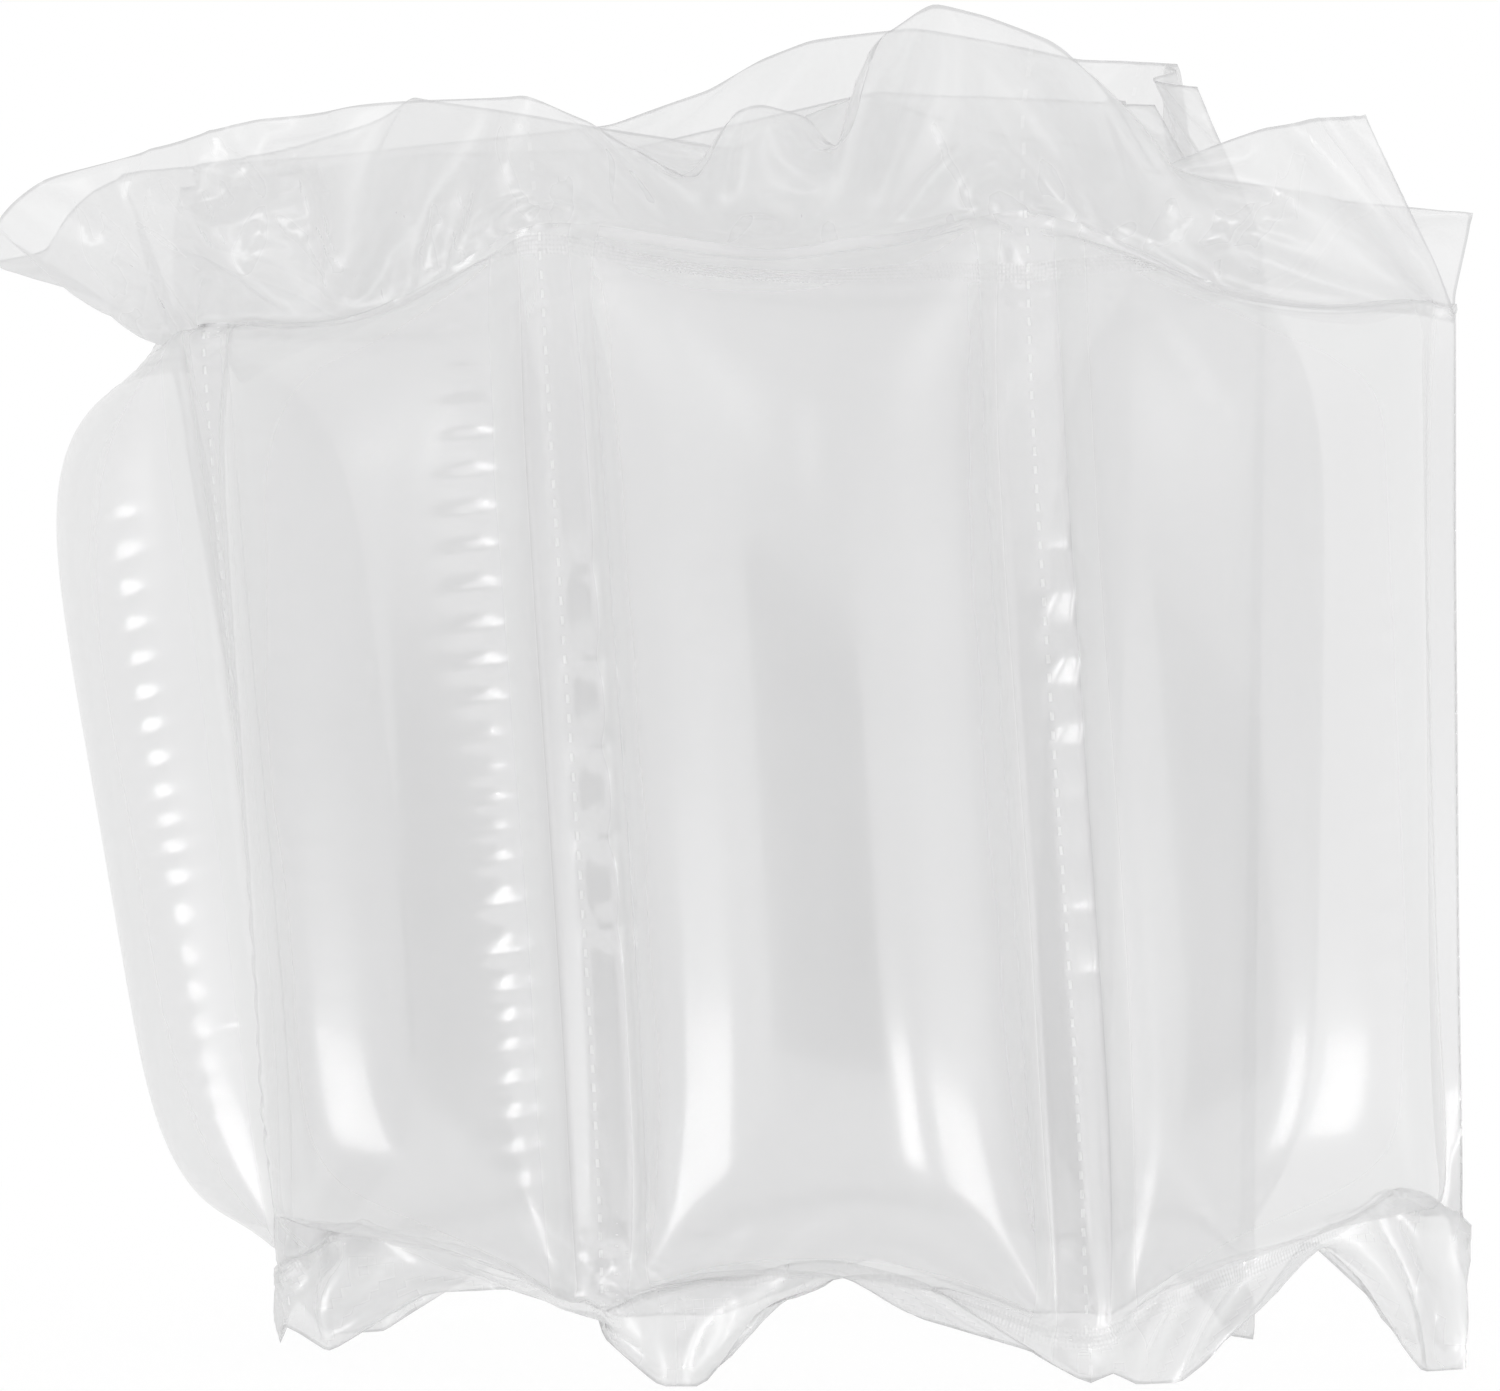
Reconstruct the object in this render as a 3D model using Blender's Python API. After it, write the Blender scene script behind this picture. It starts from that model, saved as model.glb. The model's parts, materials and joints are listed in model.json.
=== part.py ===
"""Inflatable air column bag: a torn-off strip of seven film pockets, curled upright into an open ring.

The strip is two clear films welded together. Upright welds, each with a line of perforations, part it
into air pockets, and a weld along the bottom and the top closes them. Below the bottom weld both films
hang on as a short skirt, and above the top weld they stand up as two loose leaves. It is all one piece
of film, so it is one closed solid: the films and the air in the pockets are solid, and each loose film
is a thin sheet.

Frame: metres, +Z up, +X to the right and +Y away from the front. The origin is under the middle of the
bag, on the surface that it stands on. Along the strip, station 0 is the torn end at the front right,
station 1 the first seam, and so on round the left and the back to station 7, the other torn end.
"""

import bpy
import numpy as np

# Sizes of the pockets, in metres
FRONT_CHORD = 0.0845  # seam to seam across a blown pocket at the front and the sides
BACK_CHORD = 0.0900  # the same across the two slacker pockets at the back
SEAM_BAND = 0.0150  # flat welded band at each line of perforations
OUTER_BULGE = 0.0262  # how far a full pocket swells out of the ring
INNER_BULGE = 0.0252  # how far it swells into the ring
WELD_FOOT = 0.0140  # bottom weld above the ground at a seam
POCKET_HEIGHT = 0.1890  # bottom weld to top weld at a seam
TOP_DIP = 0.0070  # how far the top weld sags between two seams
FILM = 0.0012  # thickness of the two films where they lie together

# Sizes of the loose film, in metres
SKIRT_REST = 0.0110  # hem height half way between the feet of the left and back pockets
SKIRT_FLARE = 0.0030  # how far the hem flares out of the ring there
LEAF_RISE = 0.0300  # mean height of the loose leaves over the top weld
LEAF_SPREAD = 0.0050  # gap between the two leaves where they have parted
LEAF_PARTING = 0.33  # share of their height over which they part
FLUTE_DEPTH = 0.0030  # how far the leaves wave to and fro at their hems
FLUTES = ((1.3, 0.4), (2.1, 2.4))  # waves per pocket, and where each set starts, in radians

# The ring in plan: which way each pocket runs from its seam to the next, in degrees from +X
HEADINGS = (210.0, 180.0, 137.0, 92.0, 35.0, 3.0, -72.0)
BACK_POCKETS = (4, 5)

# How full each pocket is near the ground and near its top, on the outside and the inside of the ring
OUTER_FOOT_FILL = (1.09, 0.97, 1.07, 0.82, 1.13, 1.03, 1.03)
OUTER_HEAD_FILL = (0.87, 1.03, 0.91, 1.13, 0.71, 0.79, 0.90)
INNER_FOOT_FILL = (1.02, 1.03, 1.03, 1.07, 0.91, 0.98, 0.94)
INNER_HEAD_FILL = (1.01, 0.97, 1.01, 0.89, 0.99, 0.89, 0.99)
FOOT_FULLNESS = 12.0  # higher keeps a pocket's full thickness closer to its bottom weld
HEAD_FULLNESS = 8.0  # the same for its top weld

# Lean of each seam towards -X and towards +Y as it rises, in degrees
LEAN_LEFT = (0.3, 3.3, 3.3, 4.8, 9.5, 2.4, -2.1, -0.6)
LEAN_BACK = (1.2, 0.6, 0.0, 2.4, 4.0, 2.4, 1.2, -0.6)

# How much higher each seam ends than the sizes above say, in metres, at the bottom and at the top weld
FOOT_SHIFT = (0.0070, -0.0070, 0.0010, 0.0025, 0.0, 0.0, 0.0, 0.0010)
HEAD_SHIFT = (-0.0160, 0.0020, 0.0010, -0.0180, -0.0150, -0.0050, 0.0, -0.0050)

# The pinch in each bottom weld: how far along the pocket it is, and how far it is drawn up
PINCH_AT = (0.10, 0.55, 0.73, 0.50, 0.52, 0.46, 0.52)
PINCH_RISE = (0.0190, 0.0140, 0.0120, 0.0120, 0.0110, 0.0120, 0.0100)

# Skirt hem: station, height above the ground, and flare out of the ring, in metres
SKIRT_HEM = (
    (0.00, 0.0000, 0.0010),
    (0.14, 0.0000, 0.0030),
    (0.24, 0.0120, 0.0020),
    (0.37, 0.0240, -0.0060),
    (0.53, 0.0150, 0.0000),
    (0.72, 0.0030, 0.0030),
    (0.79, 0.0000, 0.0040),
    (0.90, 0.0000, 0.0040),
    (1.04, 0.0000, 0.0000),
    (1.12, 0.0060, 0.0020),
    (1.35, 0.0120, 0.0040),
    (1.50, 0.0195, 0.0060),
    (1.68, 0.0130, 0.0030),
    (1.79, 0.0000, 0.0060),
    (1.87, 0.0000, 0.0060),
    (2.00, 0.0080, 0.0000),
    (2.08, 0.0110, -0.0080),
    (2.40, 0.0150, -0.0100),
    (2.60, 0.0140, -0.0040),
    (2.80, 0.0030, 0.0040),
    (2.92, 0.0060, 0.0020),
    (3.00, 0.0070, 0.0000),
    (3.10, 0.0030, 0.0020),
)

# Hem of the leaf on the outside of the ring: station, height over LEAF_RISE, lean out, shift along
OUTER_HEM = (
    (0.00, -0.0095, 0.0030, 0.0250),
    (0.25, -0.0100, 0.0050, 0.0120),
    (0.47, -0.0120, 0.0050, 0.0020),
    (0.62, -0.0170, 0.0030, 0.0000),
    (0.71, -0.0200, 0.0020, 0.0000),
    (0.85, -0.0070, 0.0030, 0.0000),
    (0.96, 0.0020, 0.0060, 0.0000),
    (1.17, 0.0100, 0.0100, 0.0000),
    (1.28, 0.0050, 0.0080, 0.0000),
    (1.32, -0.0060, 0.0030, 0.0000),
    (1.41, -0.0170, 0.0010, 0.0000),
    (1.49, -0.0080, 0.0050, 0.0000),
    (1.56, -0.0070, 0.0070, 0.0000),
    (1.65, -0.0240, 0.0020, 0.0000),
    (1.72, -0.0180, 0.0020, 0.0000),
    (1.84, -0.0110, 0.0020, 0.0000),
    (2.00, -0.0050, 0.0050, 0.0000),
    (2.38, -0.0070, 0.0040, 0.0000),
    (2.63, -0.0080, 0.0040, 0.0000),
    (2.75, -0.0120, 0.0060, 0.0000),
    (3.00, -0.0150, 0.0080, 0.0000),
    (3.20, -0.0220, 0.0180, 0.0000),
    (3.42, -0.0340, 0.0345, 0.0000),
    (3.60, -0.0300, 0.0260, 0.0000),
    (3.80, -0.0190, 0.0080, 0.0000),
    (4.00, -0.0150, 0.0030, 0.0000),
    (4.50, -0.0100, 0.0060, 0.0000),
    (5.00, -0.0040, 0.0030, 0.0000),
    (5.20, 0.0060, 0.0040, 0.0000),
    (5.35, 0.0140, 0.0050, 0.0000),
    (5.60, 0.0170, 0.0050, 0.0000),
    (6.00, 0.0100, 0.0030, 0.0000),
    (6.50, 0.0070, -0.0080, 0.0000),
    (7.00, -0.0005, -0.0190, -0.0040),
)

# Hem of the leaf on the inside of the ring, in the same terms
INNER_HEM = (
    (0.00, -0.0260, -0.0040, -0.0060),
    (0.20, -0.0240, -0.0060, 0.0000),
    (0.60, -0.0190, -0.0080, 0.0000),
    (1.00, -0.0140, -0.0050, 0.0000),
    (1.30, -0.0060, -0.0080, 0.0000),
    (1.60, -0.0160, -0.0060, 0.0000),
    (2.00, -0.0110, -0.0040, 0.0000),
    (2.40, -0.0060, -0.0080, 0.0000),
    (2.80, -0.0140, -0.0060, 0.0000),
    (3.20, -0.0160, -0.0060, 0.0000),
    (3.60, -0.0190, -0.0080, 0.0000),
    (4.00, -0.0180, -0.0040, 0.0000),
    (4.50, -0.0110, -0.0080, 0.0000),
    (5.00, -0.0090, -0.0050, 0.0000),
    (5.50, 0.0020, -0.0080, 0.0000),
    (6.00, 0.0000, -0.0060, 0.0000),
    (6.50, -0.0010, -0.0150, 0.0000),
    (7.00, -0.0040, -0.0230, -0.0020),
)
HEM_ROUNDING = 0.03  # stations over which a hem's corners are rounded
HEM_SAMPLES = 7  # points averaged for that rounding
FOOT_HALF = 0.13  # stations that each left and back foot rests on, to either side of its seam

# How finely the solid is divided
ARC_STEPS = 10  # across one pocket
SKIRT_STEPS = 3
BODY_STEPS = 14
LEAF_STEPS = 5

POCKETS = len(HEADINGS)
SLIGHT_TURN = 0.2  # radians; a corner that turns less than this leaves its pockets room enough
FLATTEST = 0.001  # radians; the smallest half angle of a pocket's arc, at its welds


def seam_points():
    """Plan positions of the eight seams at half height, how each leans, and the chords between them."""
    chords = np.full(POCKETS, FRONT_CHORD)
    chords[list(BACK_POCKETS)] = BACK_CHORD
    turn = np.radians(HEADINGS)
    steps = chords[:, None] * np.stack([np.cos(turn), np.sin(turn)], axis=1)
    points = np.concatenate([np.zeros((1, 2)), np.cumsum(steps, axis=0)])
    slope = np.tan(np.radians(np.stack([-np.array(LEAN_LEFT), LEAN_BACK], axis=1)))
    return points, slope, chords


def columns():
    """Pocket number and share of the pocket's chord for each column of points along the strip."""
    band = 0.5 * SEAM_BAND / FRONT_CHORD
    share = np.concatenate([[0.0], np.linspace(band, 1 - band, ARC_STEPS + 1)])
    pocket = np.repeat(np.arange(POCKETS), len(share))
    return np.append(pocket, POCKETS - 1), np.append(np.tile(share, POCKETS), 1.0)


def rounded(station, table, column):
    """A hem value at each station: straight lines between its points, with their corners rounded."""
    table = np.array(table)
    shifts = np.linspace(-HEM_ROUNDING, HEM_ROUNDING, HEM_SAMPLES)
    return np.mean([np.interp(station + s, table[:, 0], table[:, column]) for s in shifts], axis=0)


def tent(share, at):
    """1 at the share `at` of a pocket, falling in a straight line to 0 at both seams."""
    return np.minimum(share / at, (1 - share) / (1 - at))


def weld_lines(pocket, share):
    """Heights of the bottom and the top weld at each column."""
    seams = range(POCKETS + 1)
    feet = np.interp(pocket + share, seams, WELD_FOOT + np.array(FOOT_SHIFT))
    heads = np.interp(pocket + share, seams, WELD_FOOT + POCKET_HEIGHT + np.array(HEAD_SHIFT))
    pinch = np.array(PINCH_RISE)[pocket] * tent(share, np.array(PINCH_AT)[pocket])
    return feet + pinch, heads - TOP_DIP * np.sin(np.pi * share) ** 2


def out_of_ring(heading):
    """The direction in plan that is square to a heading, out of the ring."""
    return np.stack([-np.sin(heading), np.cos(heading)], axis=-1)


class Ring:
    """What the sheets below share: where each column of the strip stands, and which way it faces."""

    def __init__(self):
        self.points, self.slope, chords = seam_points()
        self.pocket, self.share = columns()
        self.station = self.pocket + self.share
        self.chord = chords[self.pocket]
        self.bottom, self.top = weld_lines(self.pocket, self.share)
        heading = np.radians(HEADINGS)
        smooth = np.interp(self.station, np.arange(POCKETS) + 0.5, heading)
        self.normal = out_of_ring(heading[self.pocket])
        self.smooth_normal = out_of_ring(smooth)
        self.smooth_along = np.stack([np.cos(smooth), np.sin(smooth)], axis=-1)

    def on_chord(self, share, z):
        """The point at a share of each column's chord, at height z. Seams lean in a straight line."""
        rise = (z - WELD_FOOT - 0.5 * POCKET_HEIGHT)[..., None]
        start = self.points[self.pocket] + rise * self.slope[self.pocket]
        end = self.points[self.pocket + 1] + rise * self.slope[self.pocket + 1]
        plan = start + share[..., None] * (end - start)
        return np.concatenate([plan, z[..., None]], axis=-1)


def neighbour_limit(ring, share):
    """How far a pocket may swell into the ring: to the line that halves the corner with its neighbour."""
    turns = np.maximum(-np.diff(np.radians(HEADINGS)), SLIGHT_TURN)
    before = np.append([SLIGHT_TURN], turns)[ring.pocket]
    after = np.append(turns, [SLIGHT_TURN])[ring.pocket]
    from_start = share * ring.chord / np.tan(before / 2)
    from_end = (1 - share) * ring.chord / np.tan(after / 2)
    return np.minimum(from_start, from_end) - FILM


def pocket_film(ring, side):
    """One film of the pockets, as an arc over each chord that flattens towards the two welds.

    side is 1 for the film outside the ring and -1 for the one inside. A row is one height.
    An arc of sagitta h over the chord c spans the half angle 2 * atan(2 * h / c).
    """
    rows = 0.5 - 0.5 * np.cos(np.pi * np.linspace(0, 1, BODY_STEPS + 1))
    z = ring.bottom + rows[:, None] * (ring.top - ring.bottom)
    if side > 0:
        depth, foot, head = OUTER_BULGE, OUTER_FOOT_FILL, OUTER_HEAD_FILL
    else:
        depth, foot, head = INNER_BULGE, INNER_FOOT_FILL, INNER_HEAD_FILL
    foot, head = np.array(foot)[ring.pocket], np.array(head)[ring.pocket]
    fullness = np.where(rows < 0.5, FOOT_FULLNESS, HEAD_FULLNESS)
    end = np.sqrt(1 - np.abs(2 * rows - 1) ** fullness)[:, None]
    bulge = depth * end * (foot + rows[:, None] * (head - foot))
    band = 0.5 * SEAM_BAND / ring.chord
    open_chord = ring.chord - SEAM_BAND
    at = np.clip((2 * ring.share - 1) / (1 - 2 * band), -1, 1)
    half_angle = np.maximum(2 * np.arctan(2 * bulge / open_chord), FLATTEST)
    share = 0.5 + (0.5 - band) * np.sin(at * half_angle) / np.sin(half_angle)
    height = 0.5 * open_chord * (np.cos(at * half_angle) - np.cos(half_angle)) / np.sin(half_angle)
    if side < 0:
        height = np.minimum(height, neighbour_limit(ring, share))
    flat = np.abs(at) >= 1
    film = ring.on_chord(np.where(flat, ring.share, share), z)
    film[..., :2] += side * np.where(flat, 0.0, height)[..., None] * ring.normal
    return film


def skirt_table():
    """SKIRT_HEM carried on round the left and the back, where each seam stands on a flat foot."""
    seams = range(4, POCKETS + 1)
    notches = tuple((k - 0.5, SKIRT_REST, SKIRT_FLARE) for k in seams)
    feet = tuple((k + d, 0.0, 0.0) for k in seams for d in (-FOOT_HALF, FOOT_HALF))
    return sorted(SKIRT_HEM + notches + feet)


def skirt(ring):
    """The two films together from the hem up to the bottom weld, hem row first."""
    hem_z = rounded(ring.station, skirt_table(), 1)
    flare = rounded(ring.station, skirt_table(), 2)
    w = np.linspace(1, 0, SKIRT_STEPS + 1)[:, None]
    z = ring.bottom + w * (hem_z - ring.bottom)
    sheet = ring.on_chord(np.broadcast_to(ring.share, z.shape), z)
    sheet[..., :2] += (w * flare)[..., None] * ring.smooth_normal
    return sheet


def leaf(ring, table, side):
    """One loose leaf from just over the top weld up to its hem: straight rulings, waving to and fro."""
    hem_z = WELD_FOOT + POCKET_HEIGHT + LEAF_RISE + rounded(ring.station, table, 1)
    flutes = sum(np.sin(2 * np.pi * rate * ring.station + start) for rate, start in FLUTES)
    out = rounded(ring.station, table, 2) + FLUTE_DEPTH * flutes
    along = rounded(ring.station, table, 3)
    w = np.linspace(0, 1, LEAF_STEPS + 1)[1:, None]
    z = ring.top + w * (hem_z - ring.top)
    sheet = ring.on_chord(np.broadcast_to(ring.share, z.shape), z)
    apart = side * 0.5 * LEAF_SPREAD * np.sin(0.5 * np.pi * np.minimum(w / LEAF_PARTING, 1))
    sheet[..., :2] += (apart + w * out)[..., None] * ring.smooth_normal
    sheet[..., :2] += (w * along)[..., None] * ring.smooth_along
    return sheet


def pushed(sheet, distance):
    """A sheet moved out of the ring by a distance along its own normals."""
    normal = np.cross(np.gradient(sheet, axis=0), np.gradient(sheet, axis=1))
    normal /= np.linalg.norm(normal, axis=-1, keepdims=True)
    return sheet + distance * normal


def film_solid():
    """All points of the solid: one closed loop round both films for each column of the strip.

    A loop runs up the outside from the skirt's hem to the outer leaf's hem, down to the crotch
    between the leaves, up to the inner leaf's hem, and down the inside. The loops are moved so that
    the middle of their bounding box's underside is at the origin.
    """
    ring = Ring()
    hem = skirt(ring)[:-1]
    outer = np.concatenate([hem, pocket_film(ring, 1), leaf(ring, OUTER_HEM, 1)])
    inner = np.concatenate([hem, pocket_film(ring, -1), leaf(ring, INNER_HEM, -1)])
    outside, inside = pushed(outer, 0.5 * FILM), pushed(inner, -0.5 * FILM)
    outside[0, :, 2] = inside[0, :, 2] = hem[0, :, 2]  # the feet stand flat on the ground
    outer_back = pushed(outer, -0.5 * FILM)[-LEAF_STEPS:]
    inner_back = pushed(inner, 0.5 * FILM)[-LEAF_STEPS:]
    weld = SKIRT_STEPS + BODY_STEPS
    crotch = 0.5 * (outside[weld] + inside[weld]) + np.array([0, 0, 0.5 * FILM])
    loops = np.concatenate([outside, outer_back[::-1], crotch[None], inner_back, inside[::-1]])
    loops = loops.transpose(1, 0, 2)
    low, high = loops.min(axis=(0, 1)), loops.max(axis=(0, 1))
    return loops - np.array([(low[0] + high[0]) / 2, (low[1] + high[1]) / 2, low[2]])


def end_cap(size):
    """Faces that close one end of the strip: both films in one, then a leaf to each side of the crotch."""
    body = SKIRT_STEPS + BODY_STEPS + 1
    crotch = body + 2 * LEAF_STEPS
    back = size - body
    faces = [(j, j + 1, size - 2 - j, size - 1 - j) for j in range(body - 1)]
    faces += [(body - 1, crotch, back), (body - 1, body, crotch - 1, crotch)]
    faces.append((back, crotch, crotch + 1, back - 1))
    for m in range(LEAF_STEPS - 1):
        faces.append((body + m, body + m + 1, crotch - 2 - m, crotch - 1 - m))
        faces.append((back - 1 - m, crotch + 1 + m, crotch + 2 + m, back - 2 - m))
    return faces


def build_bag(material):
    """The whole strip as one closed mesh object."""
    loops = film_solid()
    count, size = loops.shape[:2]
    start = size * np.arange(count - 1)[:, None]
    here = start + np.arange(size)
    up = start + np.roll(np.arange(size), -1)
    faces = np.stack([here, up, up + size, here + size], axis=-1).reshape(-1, 4).tolist()
    cap = end_cap(size)
    faces += [tuple(reversed(f)) for f in cap]
    faces += [tuple((count - 1) * size + j for j in f) for f in cap]
    mesh = bpy.data.meshes.new("air_column_bag")
    mesh.from_pydata(loops.reshape(-1, 3).tolist(), [], faces)
    mesh.materials.append(material)
    mesh.shade_smooth()
    bag = bpy.data.objects.new("air_column_bag", mesh)
    bpy.context.scene.collection.objects.link(bag)


def clear_film():
    """Clear polyethylene film: pale grey, glossy and mostly see-through."""
    material = bpy.data.materials.new("clear_film")
    material.use_nodes = True
    shader = material.node_tree.nodes["Principled BSDF"]
    shader.inputs["Base Color"].default_value = (0.80, 0.80, 0.80, 1.0)
    shader.inputs["Roughness"].default_value = 0.15
    shader.inputs["Metallic"].default_value = 0.0
    shader.inputs["Alpha"].default_value = 0.25
    return material


def main():
    for old in list(bpy.data.objects):
        bpy.data.objects.remove(old, do_unlink=True)
    build_bag(clear_film())


main()
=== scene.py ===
# %% [markdown]
# # Inflatable air column bag
#
# The real thing is a strip of clear film: two films lie face to face, upright welds part them into
# seven air pockets, and a crinkled weld closes the pockets at the bottom and at the top. A short skirt
# hangs below, two loose leaves stand up above, and the strip is curled into an open ring.
#
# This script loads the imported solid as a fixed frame, works out both films on fine grids of points
# with numpy, lets them settle under air pressure, and gives them a clear film material.

# %% Frame
import json
import bpy
import numpy as np
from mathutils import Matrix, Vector

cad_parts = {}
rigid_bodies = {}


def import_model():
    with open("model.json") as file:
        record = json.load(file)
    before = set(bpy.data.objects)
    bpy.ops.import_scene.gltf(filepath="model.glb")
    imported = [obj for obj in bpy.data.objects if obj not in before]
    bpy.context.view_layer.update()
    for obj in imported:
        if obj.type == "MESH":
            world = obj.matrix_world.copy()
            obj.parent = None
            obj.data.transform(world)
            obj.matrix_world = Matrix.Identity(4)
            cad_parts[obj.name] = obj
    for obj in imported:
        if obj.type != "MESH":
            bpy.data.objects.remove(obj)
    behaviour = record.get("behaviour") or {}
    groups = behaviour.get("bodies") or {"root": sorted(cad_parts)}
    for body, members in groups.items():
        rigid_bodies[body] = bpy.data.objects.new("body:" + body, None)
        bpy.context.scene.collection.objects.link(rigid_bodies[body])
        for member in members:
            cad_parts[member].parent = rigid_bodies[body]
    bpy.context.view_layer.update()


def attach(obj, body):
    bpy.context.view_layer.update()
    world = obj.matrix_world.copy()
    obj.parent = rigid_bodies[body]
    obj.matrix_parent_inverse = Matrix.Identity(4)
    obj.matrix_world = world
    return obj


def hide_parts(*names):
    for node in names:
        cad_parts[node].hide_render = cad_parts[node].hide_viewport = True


for leftover in list(bpy.data.objects):
    bpy.data.objects.remove(leftover)
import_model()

# %% [markdown]
# ## Sizes of the strip
#
# These are the sizes that the solid was made with, in metres. On top of them comes the flat width of a
# pocket: blown up, a pocket is narrower than it was flat, and that spare width is what makes every
# gather and fold of such a bag. The SPARE values say how much longer the film is than the line that
# it follows in the first shape, and WELD_REACH is how many rows a weld narrows.

# %% Sizes
FRONT_CHORD, BACK_CHORD = 0.0845, 0.0900
SEAM_BAND = 0.0150
OUTER_BULGE, INNER_BULGE = 0.0270, 0.0220
WELD_FOOT, POCKET_HEIGHT, TOP_DIP = 0.0140, 0.1890, 0.0070
SKIRT_REST, SKIRT_FLARE, FOOT_HALF = 0.0110, 0.0030, 0.13
LEAF_RISE, LEAF_SPREAD, LEAF_PARTING = 0.0300, 0.0050, 0.33
FLUTE_DEPTH, FLUTES = 0.0030, ((1.3, 0.4), (2.1, 2.4))
HEADINGS = np.radians((210.0, 180.0, 137.0, 92.0, 35.0, 3.0, -72.0))
POCKETS = len(HEADINGS)
CHORDS = np.array((FRONT_CHORD,) * 4 + (BACK_CHORD,) * 2 + (FRONT_CHORD,))
HEAD_FILL = np.array((0.95, 1.00, 1.00, 1.15, 0.90, 0.90, 0.80))
FOOT_FILL = np.array((0.95, 1.00, 0.95, 0.75, 0.90, 0.90, 0.80))
LEAN_LEFT = (0.3, 3.3, 3.3, 4.8, 9.5, 2.4, -2.1, -0.6)
LEAN_BACK = (1.2, 0.6, 0.0, 2.4, 4.0, 2.4, 1.2, -0.6)
FOOT_SHIFT = np.array((0.0070, -0.0070, 0.0010, 0.0025, 0.0, 0.0, 0.0, 0.0010))
HEAD_SHIFT = np.array((-0.0160, 0.0020, 0.0010, -0.0180, -0.0150, -0.0050, 0.0, -0.0050))
PINCH_AT = np.array((0.10, 0.55, 0.73, 0.50, 0.52, 0.46, 0.52))
PINCH_RISE = np.array((0.0190, 0.0140, 0.0120, 0.0120, 0.0110, 0.0120, 0.0100))
RING_START = (0.1317, -0.0547)
FLAT_POCKET = 0.1040
SPARE_HEIGHT, BAND_SPARE, WELD_SPARE, LOOSE_SPARE = 1.012, 1.002, 1.025, 1.01
WELD_REACH = 20
WIDE_FOOT = np.array((1.00, 1.00, 1.00, 0.935, 1.00, 1.00, 0.98))
WIDE_HEAD = np.array((1.00, 1.00, 1.00, 1.09, 1.00, 1.00, 0.98))
FLAT_BAND = 0.5 * SEAM_BAND / FLAT_POCKET
MIDDLE = WELD_FOOT + 0.5 * POCKET_HEIGHT
print("the strip lies", round(1000 * POCKETS * FLAT_POCKET), "mm long when flat")

# %% [markdown]
# ## The hems
#
# A hem is a list of points along the strip: the station (0 at the torn end in front, 7 at the other
# torn end), then its height and how far it leans. A curve drawn by hand would do as well, but a table
# can be set against the photo line by line. Straight lines join the points and a short running mean
# rounds their corners a little, as torn and crumpled film has them.

# %% Hems
SKIRT_HEM = (
    (0.00, 0.0000, 0.0010), (0.14, 0.0000, 0.0030), (0.24, 0.0120, 0.0020), (0.37, 0.0240, -0.0060),
    (0.53, 0.0150, 0.0000), (0.72, 0.0030, 0.0030), (0.79, 0.0000, 0.0040), (0.90, 0.0000, 0.0040),
    (0.95, 0.0025, 0.0020), (1.00, 0.0000, 0.0000), (1.12, 0.0060, 0.0020), (1.35, 0.0120, 0.0040),
    (1.50, 0.0195, 0.0060), (1.68, 0.0130, 0.0030), (1.79, 0.0000, 0.0060), (1.87, 0.0000, 0.0060),
    (2.00, 0.0080, 0.0000), (2.08, 0.0110, -0.0080), (2.40, 0.0150, -0.0100), (2.60, 0.0140, -0.0040),
    (2.80, 0.0030, 0.0040), (2.92, 0.0060, 0.0020), (3.00, 0.0070, 0.0000), (3.10, 0.0030, 0.0020),
) + tuple((k - 0.5, SKIRT_REST, SKIRT_FLARE) for k in range(4, POCKETS + 1)) + tuple(
    (k + d, 0.0, 0.0) for k in range(4, POCKETS + 1) for d in (-FOOT_HALF, FOOT_HALF)
)
OUTER_HEM = (
    (0.00, -0.0095, 0.0030, 0.0250), (0.25, -0.0100, 0.0050, 0.0120), (0.47, -0.0120, 0.0050, 0.0020),
    (0.62, -0.0170, 0.0030, 0.0), (0.71, -0.0200, 0.0020, 0.0), (0.85, -0.0070, 0.0030, 0.0),
    (0.96, 0.0020, 0.0060, 0.0), (1.08, 0.0065, 0.0090, 0.0), (1.18, 0.0090, 0.0100, 0.0),
    (1.29, 0.0025, 0.0080, 0.0), (1.34, -0.0090, 0.0030, 0.0), (1.38, -0.0170, 0.0010, 0.0),
    (1.44, -0.0110, 0.0050, 0.0), (1.53, -0.0088, 0.0070, 0.0), (1.58, -0.0100, 0.0050, 0.0),
    (1.665, -0.0222, 0.0020, 0.0), (1.75, -0.0185, 0.0020, 0.0), (1.86, -0.0120, 0.0020, 0.0),
    (2.00, -0.0070, 0.0050, 0.0), (2.25, -0.0075, 0.0045, 0.0), (2.46, -0.0085, 0.0040, 0.0),
    (2.70, -0.0095, 0.0040, 0.0), (2.85, -0.0120, 0.0060, 0.0), (3.00, -0.0140, 0.0080, 0.0),
    (3.20, -0.0190, 0.0180, 0.0), (3.42, -0.0335, 0.0345, 0.0), (3.60, -0.0300, 0.0250, 0.0),
    (3.80, -0.0190, 0.0080, 0.0), (4.00, -0.0150, 0.0030, 0.0), (4.50, -0.0100, 0.0060, 0.0),
    (5.00, -0.0040, 0.0030, 0.0), (5.20, 0.0030, 0.0040, 0.0), (5.30, 0.0090, 0.0050, 0.0),
    (5.39, 0.0126, 0.0050, 0.0), (5.58, 0.0153, 0.0050, 0.0), (5.90, 0.0085, 0.0030, 0.0),
    (6.00, 0.0084, 0.0030, 0.0), (6.50, 0.0050, -0.0080, 0.0), (7.00, -0.0005, -0.0190, -0.0040),
)
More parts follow.
